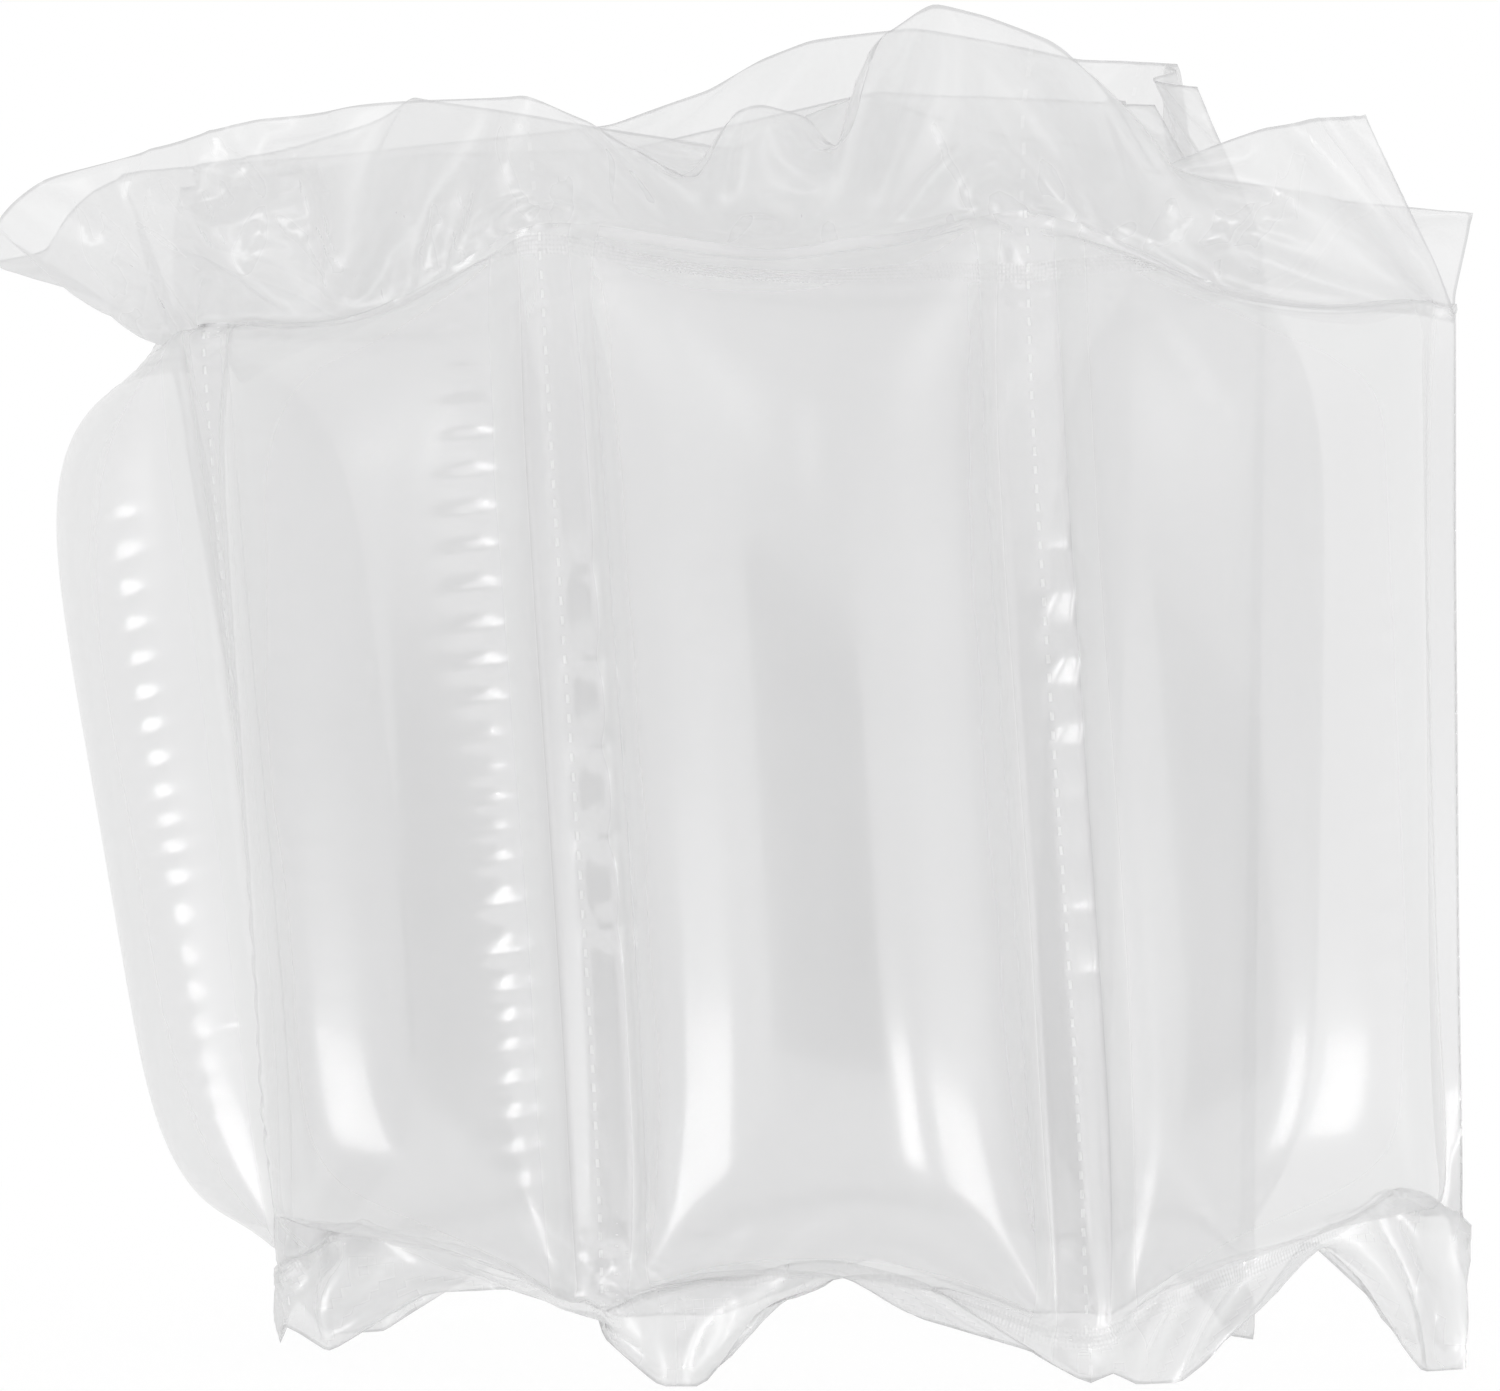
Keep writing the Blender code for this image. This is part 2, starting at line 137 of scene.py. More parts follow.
INNER_HEM = (
    (0.00, -0.0260, -0.0040, -0.0060), (0.20, -0.0240, -0.0060, 0.0), (0.60, -0.0190, -0.0080, 0.0),
    (1.00, -0.0140, -0.0050, 0.0), (1.30, -0.0060, -0.0080, 0.0), (1.60, -0.0160, -0.0060, 0.0),
    (2.00, -0.0110, -0.0040, 0.0), (2.40, -0.0060, -0.0080, 0.0), (2.80, -0.0140, -0.0060, 0.0),
    (3.20, -0.0160, -0.0060, 0.0), (3.60, -0.0190, -0.0080, 0.0), (4.00, -0.0180, -0.0040, 0.0),
    (4.50, -0.0110, -0.0080, 0.0), (5.00, -0.0090, -0.0050, 0.0), (5.50, 0.0020, -0.0080, 0.0),
    (6.00, 0.0000, -0.0060, 0.0), (6.50, -0.0010, -0.0150, 0.0), (7.00, -0.0040, -0.0230, -0.0020),
)


def hem_value(station, table, column, rounding=0.012):
    """A hem's value at each station: lines between its points, averaged over +-rounding stations."""
    table = np.array(sorted(table))
    shifts = np.linspace(-rounding, rounding, 5)
    return np.mean([np.interp(station + s, table[:, 0], table[:, column]) for s in shifts], axis=0)


print("points in the three hems:", len(SKIRT_HEM), len(OUTER_HEM), len(INNER_HEM))

# %% [markdown]
# ## Columns and rows of the grid
#
# Every column is one upright line of the flat film and every row is one line along it, so the two
# films are two arrays of the same shape and each piece of film between four points has a known flat
# size. The welds keep a column's place; between them, a blown pocket draws the columns together.

# %% Grid
COARSE = 3
PER_POCKET = 48
SKIRT_ROWS, BODY_ROWS, LEAF_ROWS = 12, 180, 36
BOTTOM_WELD, TOP_WELD = SKIRT_ROWS, SKIRT_ROWS + BODY_ROWS
ROWS, COLUMNS = TOP_WELD + LEAF_ROWS + 1, POCKETS * PER_POCKET + 1
flat_station = np.arange(COLUMNS) / PER_POCKET
pocket = np.minimum(flat_station.astype(int), POCKETS - 1)
flat_share = flat_station - pocket
chord = CHORDS[pocket]
band = 0.5 * SEAM_BAND / chord
at = np.clip(2 * (flat_share - FLAT_BAND) / (1 - 2 * FLAT_BAND) - 1, -1, 1)
edge_share = np.minimum(flat_share, 1 - flat_share) * FLAT_POCKET / chord
in_band = np.minimum(flat_share, 1 - flat_share) <= FLAT_BAND + 1e-9
share = np.where(
    in_band, np.where(flat_share < 0.5, edge_share, 1 - edge_share), band + 0.5 * (at + 1) * (1 - 2 * band)
)
station = pocket + share
print("grid of", ROWS, "rows and", COLUMNS, "columns for each film")

# %% [markdown]
# ## The ring in plan
#
# Each pocket's chord starts where the last one ended and turns by its heading. A seam leans in a
# straight line, so the point at a share of a chord is found at any height.

# %% Ring
seams = np.concatenate([[RING_START], RING_START + np.cumsum(
    CHORDS[:, None] * np.stack([np.cos(HEADINGS), np.sin(HEADINGS)], axis=1), axis=0)])
slopes = np.tan(np.radians(np.stack([-np.array(LEAN_LEFT), LEAN_BACK], axis=1)))
smooth_heading = np.interp(station, np.arange(POCKETS) + 0.5, HEADINGS)
normal = np.stack([-np.sin(HEADINGS[pocket]), np.cos(HEADINGS[pocket])], axis=-1)
smooth_normal = np.stack([-np.sin(smooth_heading), np.cos(smooth_heading)], axis=-1)
smooth_along = np.stack([np.cos(smooth_heading), np.sin(smooth_heading)], axis=-1)


def on_chord(share_at, z):
    """Point at a share of each column's chord and at height z: start + share * (end - start)."""
    rise = (z - MIDDLE)[..., None]
    start = seams[pocket] + rise * slopes[pocket]
    end = seams[pocket + 1] + rise * slopes[pocket + 1]
    return np.concatenate([start + share_at[..., None] * (end - start), z[..., None]], axis=-1)


pinch_tent = np.minimum(share / PINCH_AT[pocket], (1 - share) / (1 - PINCH_AT[pocket]))
bottom = np.interp(station, range(POCKETS + 1), WELD_FOOT + FOOT_SHIFT) + PINCH_RISE[pocket] * pinch_tent
top = np.interp(station, range(POCKETS + 1), WELD_FOOT + POCKET_HEIGHT + HEAD_SHIFT)
top = top - TOP_DIP * np.sin(np.pi * share) ** 2
print("bottom weld from", bottom.min().round(4), "to", bottom.max().round(4), "m above the ground")


# %% [markdown]
# ## First shape of the two films
#
# Before it settles, each film of a pocket is an arc over the chord that flattens towards the two
# welds: an arc of sagitta h over a chord c spans the half angle 2 * atan(2 * h / c). The settling could
# start from flat film too, but from a shape near the real one it needs far fewer steps.

# %% First shape
def pocket_film(side):
    """One film of the pockets as rows of arcs. side is 1 outside the ring and -1 inside it.

    The sagitta is depth * sqrt(1 - |2 * row - 1| ** 5) * fill, and rows are closer together at both ends.
    """
    even = np.linspace(0, 1, BODY_ROWS + 1)
    rows = (0.5 * even + 0.5 * (0.5 - 0.5 * np.cos(np.pi * even)))[:, None]
    z = bottom + rows * (top - bottom)
    fill = FOOT_FILL[pocket] + rows * (HEAD_FILL[pocket] - FOOT_FILL[pocket])
    depth = OUTER_BULGE if side > 0 else INNER_BULGE
    bulge = depth * np.sqrt(1 - np.abs(2 * rows - 1) ** 5) * fill
    open_chord = chord - SEAM_BAND
    half_angle = np.maximum(2 * np.arctan(2 * bulge / open_chord), 0.001)
    arc_share = 0.5 + (0.5 - band) * np.sin(at * half_angle) / np.sin(half_angle)
    height = 0.5 * open_chord * (np.cos(at * half_angle) - np.cos(half_angle)) / np.sin(half_angle)
    film = on_chord(np.where(in_band, share, arc_share), z)
    film[..., :2] += side * np.where(in_band, 0.0, height)[..., None] * normal
    return film


def skirt_film():
    """The skirt from its hem up to the bottom weld: straight rulings that flare out of the ring."""
    w = np.linspace(1, 0, SKIRT_ROWS + 1)[:-1, None]
    z = bottom + w * (np.maximum(hem_value(station, SKIRT_HEM, 1), 0.0) - bottom)
    film = on_chord(np.broadcast_to(share, z.shape), z)
    film[..., :2] += (w * hem_value(station, SKIRT_HEM, 2))[..., None] * smooth_normal
    return film


def leaf_film(table, side):
    """One loose leaf from the top weld up to its hem: straight rulings that fan out."""
    hem_z = WELD_FOOT + POCKET_HEIGHT + LEAF_RISE + hem_value(station, table, 1)
    w = np.linspace(0, 1, LEAF_ROWS + 1)[1:, None]
    z = top + w * (hem_z - top)
    film = on_chord(np.broadcast_to(share, z.shape), z)
    apart = side * 0.5 * LEAF_SPREAD * np.sin(0.5 * np.pi * np.minimum(w / LEAF_PARTING, 1))
    flutes = sum(np.sin(2 * np.pi * rate * station + begin) for rate, begin in FLUTES)
    lean = hem_value(station, table, 2) + FLUTE_DEPTH * flutes
    film[..., :2] += (apart + w * lean)[..., None] * smooth_normal
    film[..., :2] += (w * hem_value(station, table, 3))[..., None] * smooth_along
    return film


films = np.stack([
    np.concatenate([skirt_film(), pocket_film(1), leaf_film(OUTER_HEM, 1)]),
    np.concatenate([skirt_film(), pocket_film(-1), leaf_film(INNER_HEM, -1)]),
])
print("first shape in mm:", (1000 * np.ptp(films.reshape(-1, 3), axis=0)).round(1))


# %% [markdown]
# ## Flat sizes
#
# Film hardly stretches, so each little piece of it keeps the size that it had when it was flat. The
# flat width of a pocket is wider than its chord, and near the welds the spare width has to go into
# gathers. The loose skirt and leaves keep nearly the widths of their first shape, so that they hang in
# calm panels.

# %% Flat sizes
def bell(value, centre, width):
    """exp(-((value - centre) / width) ** 2)"""
    return np.exp(-(((value - centre) / width) ** 2))


def smoothed(values, width):
    """Running mean along the strip with a Gaussian weight of `width` columns, ends held."""
    reach = int(3 * width)
    weights = np.exp(-0.5 * (np.arange(-reach, reach + 1) / width) ** 2)
    return np.convolve(np.pad(values, reach, mode="edge"), weights / weights.sum(), mode="valid")


wide_share = np.clip((np.arange(ROWS) - BOTTOM_WELD) / BODY_ROWS, 0, 1)[:, None]
wide = (WIDE_FOOT + wide_share * (WIDE_HEAD - WIDE_FOOT))[:, pocket[:-1]]
across_flat = np.stack([wide, wide]) * FLAT_POCKET / PER_POCKET
row_number = np.arange(ROWS)[:, None]
near_weld = np.maximum(bell(row_number, BOTTOM_WELD, WELD_REACH), bell(row_number, TOP_WELD, WELD_REACH))
across_flat *= 1 - near_weld * (1 - WELD_SPARE * chord[:-1] / FLAT_POCKET)
for loose in (slice(None, BOTTOM_WELD), slice(TOP_WELD, None)):
    across_flat[:, loose] = LOOSE_SPARE * np.linalg.norm(np.diff(films[:, loose], axis=2), axis=-1)
upright = np.linalg.norm(np.diff(films, axis=1), axis=-1)
body_flat = upright[:, BOTTOM_WELD:TOP_WELD].sum(axis=1).mean(axis=0)
body_flat = np.where(in_band, BAND_SPARE * body_flat, SPARE_HEIGHT * smoothed(body_flat, 0.15 * PER_POCKET))
body_flat = smoothed(body_flat, 2)
up_flat = upright * LOOSE_SPARE
up_flat[:, BOTTOM_WELD:TOP_WELD] = body_flat / BODY_ROWS
flat_height = np.concatenate([np.zeros((1, COLUMNS)), np.cumsum(up_flat.mean(axis=0), axis=0)])
flat_height = flat_height - flat_height[BOTTOM_WELD]
print("pockets in mm when flat:", (1000 * body_flat.min()).round(), "to", (1000 * body_flat.max()).round())

# %% [markdown]
# ## Puckers
#
# Beside its perforated seams real film is a little longer than the seam, so it stands in rows of small
# puckers: close ones on the tight shoulders, wide ones where the film is slack. Each row below gives
# the seam, the side, how far from the seam it is and how much further at the top than at the foot, its
# pitch and depth, and the share of the height that it covers. A pucker is a small pillow,
# 2 * sqrt(|sin|) - 1.5, with a narrow valley on both sides. A few small blisters of air stand on the
# welded bands too: each has a seam, a place beside it, a height above the bottom weld and a strength.
# A bump texture would be lighter, but true relief catches the light in the right places.

# %% Puckers
PUCKERS = (
    (2, 1, 0.0158, 0.0040, 0.0061, 0.00080, 0.12, 0.92), (1, 1, 0.0110, 0.0, 0.0100, 0.00030, 0.25, 0.90),
    (3, 1, 0.0240, 0.0, 0.0060, 0.00035, 0.05, 0.85), (3, -1, 0.0250, 0.0, 0.0064, 0.00055, 0.10, 0.80),
    (0, 1, 0.0150, 0.0, 0.0075, 0.00030, 0.25, 0.70), (4, -1, 0.0180, 0.0, 0.0062, 0.00050, 0.10, 0.90),
    (4, 1, 0.0150, 0.0, 0.0070, 0.00045, 0.15, 0.85), (5, -1, 0.0150, 0.0, 0.0085, 0.00045, 0.10, 0.90),
    (5, 1, 0.0140, 0.0, 0.0066, 0.00045, 0.20, 0.85), (6, -1, 0.0150, 0.0, 0.0072, 0.00045, 0.10, 0.85),
    (6, 1, 0.0150, 0.0, 0.0066, 0.00045, 0.15, 0.90), (7, -1, 0.0150, 0.0, 0.0080, 0.00035, 0.20, 0.80),
)
BAND_PUCKERS = (
    (1, -1, 0.0045, 0.0, 0.0104, 0.00035, 0.25, 0.88),
    (3, 1, 0.0045, 0.0, 0.0120, 0.00030, 0.20, 0.80), (5, 1, 0.0045, 0.0, 0.0140, 0.00040, 0.20, 0.85),
)
BLISTERS = (
    (2, -0.0052, 0.1300, 0.8), (2, -0.0052, 0.1145, 1.4), (2, -0.0054, 0.0995, 1.7), (2, -0.0054, 0.0843, 1.7),
    (2, -0.0052, 0.0690, 0.9), (1, -0.0040, 0.1290, 0.8), (1, -0.0042, 0.1175, 1.0), (1, -0.0040, 0.1060, 0.6),
)
BLISTER_DEPTH, BLISTER_WIDTH, BLISTER_HEIGHT = 0.0013, 0.0028, 0.0030
PUCKER_WIDTH, BAND_PUCKER_WIDTH, BAND_EDGE, SPAN_FADE = 0.0036, 0.0032, 0.002, 0.08
PUCKER_WANDER, PUCKER_SLANT = 0.35, 12
rng = np.random.default_rng(7)
body_share = (np.arange(ROWS)[:, None] - BOTTOM_WELD) / BODY_ROWS


def slow_noise(count, pieces):
    """A smooth random line of `count` values from -1 to 1, with about `pieces` bumps in it."""
    knots = rng.uniform(-1, 1, pieces + 4)
    place = np.linspace(1, pieces + 2, count)
    low = place.astype(int)
    part = place - low
    part = part * part * (3 - 2 * part)
    return knots[low] * (1 - part) + knots[low + 1] * part


def puckers(rows, width, on_band):
    """Sum of depth * (2 * sqrt(|sin|) - 1.5) over the rows, kept on the seam's band or off it."""
    wave = np.zeros((ROWS, COLUMNS))
    for seam, side, away, lean, pitch, depth, low, high in rows:
        off = side * (flat_station - seam) * FLAT_POCKET
        past_band = np.clip((off - 0.5 * SEAM_BAND) / BAND_EDGE, 0, 1)
        here = bell(off, away + lean * (body_share - 0.5), width) * (1 - past_band if on_band else past_band)
        span = np.clip((body_share - low) / SPAN_FADE, 0, 1) * np.clip((high - body_share) / SPAN_FADE, 0, 1)
        turn = flat_height / pitch + PUCKER_WANDER * slow_noise(ROWS, 12)[:, None] + PUCKER_SLANT * off
        strength = span * (0.75 + 0.5 * slow_noise(ROWS, 14)[:, None]) * here
        wave += depth * strength * (2 * np.sqrt(np.abs(np.sin(np.pi * turn))) - 1.5)
    return wave


pucker_wave = puckers(PUCKERS, PUCKER_WIDTH, False)
band_wave = puckers(BAND_PUCKERS, BAND_PUCKER_WIDTH, True)
for seam, off, height, strength in BLISTERS:
    across_seam = (flat_station - seam) * FLAT_POCKET
    blister = bell(across_seam, off, BLISTER_WIDTH) * bell(flat_height, height, BLISTER_HEIGHT)
    band_wave += strength * BLISTER_DEPTH * blister
print("puckers up to", (1000 * np.abs(pucker_wave).max()).round(2), "mm deep")


# %% [markdown]
# ## Settling under air pressure
#
# This is a small cloth simulation on the two grids. Blender's Cloth could blow the bag up as well, but
# it lets film stretch and drift, and here every weld and hem has to stay where the photo shows it. Each
# step lets every point drift on, pushes the pockets' films apart by air, and then puts the flat sizes
# back: an edge that is too long or too short moves both of its ends by half the error. Alternate edges
# share no point, so numpy moves half of all the edges of the bag at once. Welded rows and bands hold
# both films together, the seams and hems are held softly where the bag stands, and a film can't pass
# the corner where two pockets meet.

# %% Edges
def part_of(axis, start, stop, step=1):
    """The slice that takes start:stop:step along one axis of a grid."""
    return (slice(None),) * axis + (slice(start, stop, step),)


def pull(points, flat, axis, give=1.0):
    """Each edge along `axis` gets its flat length back: both ends move by half the error."""
    last = points.shape[axis] - 1
    for start in (0, 1):
        a, b = points[part_of(axis, start, last, 2)], points[part_of(axis, start + 1, None, 2)]
        pull_pairs(a, b, flat[part_of(axis, start, None, 2)], give)


def pull_pairs(a, b, flat, give):
    """Moves a and b along their line by half of give * (length - flat) each."""
    step = b - a
    size = np.sqrt(np.einsum("...k,...k->...", step, step))
    step *= (0.5 * give * (1 - flat / size))[..., None]
    a += step
    b -= step


def shear(points, flat, give):
    """The same for both diagonals of every little rectangle, so that film doesn't skew."""
    for start in (0, 1):
        low, high = points[:, start:-1:2], points[:, start + 1::2]
        pull_pairs(low[:, :, :-1], high[:, :, 1:], flat[:, start::2], give)
        pull_pairs(low[:, :, 1:], high[:, :, :-1], flat[:, start::2], give)


def stiffen(points, flat, axis, give, least):
    """Points two edges apart are pushed apart where they come nearer than `least` of the flat way."""
    count = points.shape[axis]
    a, b = points[part_of(axis, 0, count - 2)], points[part_of(axis, 2, None)]
    way = flat[part_of(axis, 0, count - 2)] + flat[part_of(axis, 1, None)]
    step = b - a
    size = np.sqrt(np.einsum("...k,...k->...", step, step))
    push = give * np.minimum(1 - least * way / size, 0)[..., None] * step
    a += push
    b -= push


def out_normals(points):
    """Unit normals of both grids, out of the ring: the cross product of central differences."""
    normal_sum = np.cross(np.gradient(points, axis=1), np.gradient(points, axis=2))
    return normal_sum / np.sqrt(np.einsum("...k,...k->...", normal_sum, normal_sum))[..., None]


print("edge helpers ready")

# %% [markdown]
# ## Corner planes
#
# Where two pockets meet, the inner films of both bulge towards each other. An upright plane through
# each seam, halfway between its two pockets, is as far as either film may go.

# %% Corners
corner_heading = np.concatenate([HEADINGS[:1], 0.5 * (HEADINGS[1:] + HEADINGS[:-1]), HEADINGS[-1:]])
seam_line = np.concatenate([slopes, np.ones((POCKETS + 1, 1))], axis=1)
into_ring = np.stack([np.sin(corner_heading), -np.cos(corner_heading), 0 * corner_heading], axis=-1)
corner_plane = np.cross(seam_line, into_ring)
onward = np.stack([np.cos(corner_heading), np.sin(corner_heading), 0 * corner_heading], axis=-1)
corner_plane *= np.sign(np.einsum("ij,ij->i", corner_plane, onward))[:, None]
corner_plane /= np.linalg.norm(corner_plane, axis=1, keepdims=True)
corner_point = np.concatenate([seams, np.full((POCKETS + 1, 1), MIDDLE)], axis=1)
print("corner planes:", len(corner_plane))


# %% [markdown]
# ## One settling
#
# The same steps serve twice: first on every third row and column, where the big shape settles quickly,
# and then on the full grid. HELD says how firmly a seam, weld, hem, foot or torn corner keeps its place,
# and GIVE how much of an error one pass takes back.

# %% Settle
FILM_GAP, CORNER_GAP, LEAF_GAP, FLOOR_GAP = 0.00025, 0.0004, 0.0006, 0.0002
DRIFT_KEPT, LARGEST_DRIFT, SKIRT_CLOSING = 0.9, 0.002, 0.2
GIVE = {"shear": 0.4, "bend": 0.12}
LEAST_ACROSS, LEAST_UP = 0.985, 0.96
HELD = {"seam": 0.10, "weld": 0.02, "hem": (0.30, 0.50), "foot": (0.35, 0.60), "corner": 0.30}


def holds(rows, columns, low, high, seam_column):
    """How strongly each point is held in plan (x, y) and in height (z), from 0 to 1."""
    held = np.zeros((rows, columns, 3))
    held[low] = held[high] = HELD["weld"]
    held[low:high + 1, seam_column, :2] = HELD["seam"]
    held[-1, :, :2], held[-1, :, 2] = HELD["hem"]
    held[0, :, :2], held[0, :, 2] = HELD["foot"]
    held[high:, (0, -1)] = HELD["corner"]
    return held[None].astype(np.float32)


def settle(start, wanted, flat_up, stride, steps, air, sweeps=3):
    """Settles every stride-th row and column of the films, and returns those points."""
    points = start[:, ::stride, ::stride].astype(np.float32) if start.shape[1] == ROWS else start
    points = points.copy()
    wanted = wanted[:, ::stride, ::stride].astype(np.float32)
    before = points.copy()
    rows, columns = points.shape[1:3]
    low, high = BOTTOM_WELD // stride, TOP_WELD // stride
    banded, owner = in_band[::stride], pocket[::stride]
    facing = smooth_normal[::stride].astype(np.float32)
    up = flat_up.reshape(2, -1, stride, COLUMNS).sum(axis=2)[:, :, ::stride].astype(np.float32)
    across = across_flat.reshape(2, ROWS, -1, stride).sum(axis=3)[:, ::stride].astype(np.float32)
    slant = np.hypot(across[:, :-1], 0.5 * (up[:, :, 1:] + up[:, :, :-1]))
    blown = np.zeros((rows, columns), np.float32)
    blown[low + 1:high, ~banded] = air
    push = np.stack([blown, -blown])[..., None]
    seam_column = np.isclose(flat_share[::stride], 0) | (np.arange(columns) == columns - 1)
    held = holds(rows, columns, low, high, seam_column)
    welded = np.zeros((rows, columns), bool)
    half = max(1, 3 // stride)
    welded[low - half + 1:low + half] = welded[high - half + 1:high + half] = True
    welded[low:high, banded] = True
    free = np.ones((rows, columns), bool)
    free[:low + 1] = free[high:] = False
    free[:, banded] = False
    planes = [
        (corner_plane[owner + k].astype(np.float32), corner_point[owner + k].astype(np.float32), 1 - 2 * k)
        for k in (0, 1)
    ]
    for _ in range(steps):
        normal_now = out_normals(points)
        drift = np.clip(points - before, -LARGEST_DRIFT, LARGEST_DRIFT)
        before[:] = points
        points += np.float32(DRIFT_KEPT) * drift + push * normal_now
        for _ in range(sweeps):
            pull(points, across, 2)
            pull(points, up, 1)
            shear(points, slant, GIVE["shear"])
            stiffen(points, across, 2, GIVE["bend"], LEAST_ACROSS)
            stiffen(points, up, 1, GIVE["bend"], LEAST_UP)
            points += held * (wanted - points)
            middle, aside = 0.5 * (points[0] + points[1]), np.float32(0.5 * FILM_GAP) * normal_now[0]
            points[0][welded] = (middle + aside)[welded]
            points[1][welded] = (middle - aside)[welded]
            hanging = SKIRT_CLOSING * (points[0, :low - 1] - points[1, :low - 1])
            points[0, :low - 1] -= hanging
            points[1, :low - 1] += hanging
        for plane, point, side in planes:
            clear = side * np.einsum("rck,ck->rc", points[1] - point, plane)
            back = np.where(free, np.minimum(clear - np.float32(CORNER_GAP), 0), 0)
            points[1] -= side * back[..., None] * plane
        apart = np.einsum("rck,ck->rc", (points[0] - points[1])[..., :2], facing)
        close = 0.5 * np.minimum(apart - np.float32(LEAF_GAP), 0)
        close[:high + 2] = 0
        points[0, ..., :2] -= close[..., None] * facing
        points[1, ..., :2] += close[..., None] * facing
        np.maximum(points[..., 2], FLOOR_GAP, out=points[..., 2])
    return points


def refined(grid, times):
    """A grid with `times` as many rows and columns, by Catmull-Rom curves through its points."""
    for axis in (1, 2):
        grid = np.moveaxis(grid, axis, 0)
        count = len(grid)
        place = np.arange((count - 1) * times + 1) / times
        low = np.minimum(place.astype(int), count - 2)
        w = (place - low).reshape(-1, 1, 1, 1).astype(np.float32)
        a, b, c, d = (grid[np.clip(low + k, 0, count - 1)] for k in (-1, 0, 1, 2))
        curve = 2 * b + (c - a) * w + (2 * a - 5 * b + 4 * c - d) * w**2 + (3 * b - a - 3 * c + d) * w**3
        grid = np.moveaxis(0.5 * curve, 0, axis)
    return grid


print("settling helpers ready")

# %% [markdown]
# ## First gathers
#
# Film with width to spare gathers somewhere, and the settling needs a nudge that says where: soft
# waves near the two welds, and a shallow pleat that points into the ring at each pinch. After the
# settling, the puckers and blisters are laid on along the film's own normals.

# %% Gathers
GATHER, GATHER_WAVES, GATHER_BELOW = 0.0008, (9, 2.5, 7.0), 0.2
PLEAT, PLEAT_WIDTH, BOTTOM_REACH, TOP_REACH = 0.0020, 0.05, 15, 21
COARSE_STEPS, FINE_STEPS, QUICK_STEPS = 300, 120, 20
COARSE_AIR, FINE_AIR = 0.00006, 0.00002


def random_waves(count, slowest, fastest):
    """Sum of `count` sines along the strip, each with its own rate per pocket and start."""
    rates, starts = rng.uniform(slowest, fastest, count), rng.random(count)
    sizes = rng.uniform(0.4, 1.0, count)
    return np.sin(2 * np.pi * (rates[:, None] * flat_station + starts[:, None])).T @ sizes / np.sqrt(count)


near_bottom = bell(row_number, BOTTOM_WELD, BOTTOM_REACH)
near_top = bell(row_number, TOP_WELD, TOP_REACH)
down_skirt = np.clip((BOTTOM_WELD - row_number) / SKIRT_ROWS, 0, 1)
pinch_column = FLAT_BAND + PINCH_AT[pocket] * (1 - 2 * FLAT_BAND)
lift = GATHER * random_waves(*GATHER_WAVES) * (near_top + GATHER_BELOW * near_bottom)
lift = lift - PLEAT * bell(flat_share, pinch_column, PLEAT_WIDTH) * np.maximum(near_bottom, down_skirt)
gathered = films.copy()
gathered[..., :2] += lift[..., None] * smooth_normal

coarse = settle(gathered, films, up_flat, COARSE, COARSE_STEPS, COARSE_AIR)
settled = refined(coarse, COARSE)
steps = FINE_STEPS
settled = settle(settled, films, up_flat, 1, steps, FINE_AIR).astype(float)
relief = np.stack([band_wave + pucker_wave, band_wave - pucker_wave])
settled += relief[..., None] * out_normals(settled)
print("settled films in mm:", (1000 * np.ptp(settled.reshape(-1, 3), axis=0)).round(1))


# %% [markdown]
# ## Creases
#
# Film that was packed flat keeps its fold lines. A crease is a straight line on the flat film, and its
# relief is exp(-distance / width), a sharp ridge that dies out on both sides and towards its ends. Some
# are at the places where the photo shows them, and many short ones stand around the top weld. The
# leaves get a grid twice as fine as the pockets, so that their creases stay thin. How sharply a place
# is folded is kept as well, because folded film is a little glossier.

# %% Creases
LEAF_FINER = 2
LEAF_CREASES = (
    (3.07, 0.008, 2.99, -0.001, 0.9), (2.99, 0.014, 2.88, 0.001, -0.9), (2.71, 0.013, 2.57, 0.004, 0.8),
    (2.87, 0.028, 2.72, 0.014, 1.2), (2.72, 0.014, 2.82, -0.002, -1.2), (3.40, 0.001, 3.20, 0.012, 1.0),
    (3.46, 0.010, 3.25, 0.004, -1.0), (3.15, 0.020, 3.30, 0.002, 0.9), (1.62, 0.012, 1.50, 0.001, 0.8),
    (1.56, 0.020, 1.67, 0.004, -0.8), (1.36, 0.014, 1.44, 0.001, 0.9), (1.20, 0.034, 1.04, 0.006, -0.7),
    (0.98, 0.020, 0.84, 0.002, 0.9), (0.64, 0.012, 0.50, 0.018, 1.0), (0.60, 0.010, 0.34, 0.017, -0.9),
    (0.30, 0.020, 0.14, 0.002, 0.8), (0.18, 0.024, 0.02, 0.006, -0.8), (2.30, 0.020, 2.18, 0.003, 0.7),
    (2.06, 0.024, 2.01, 0.002, 0.8), (1.92, 0.014, 1.98, 0.001, -0.8),
)
CREASE_DEPTH, CREASE_WIDTH = 0.00045, 0.0016
SHORT_CREASES, SHORT_DEPTH, SHORT_ABOVE, SHORT_REACH = 150, 0.00035, 0.005, 0.005
LEAF_CLOUD, CREASE_FADE, FOLD_GAIN, FOLD_FROM = 0.02, 0.002, 2.0, 0.4


def soft_noise(along, up, cell):
    """A smooth random field from -1 to 1 on the flat film, with bumps of about `cell` metres."""
    x, y = along / cell, (up - up.min()) / cell
    i, j = x.astype(int), y.astype(int)
    u, v = (w * w * (3 - 2 * w) for w in (x - i, y - j))
    knots = rng.uniform(-1, 1, (i.max() + 2, j.max() + 2))
    low = knots[i, j] * (1 - u) + knots[i + 1, j] * u
    high = knots[i, j + 1] * (1 - u) + knots[i + 1, j + 1] * u
    return low * (1 - v) + high * v


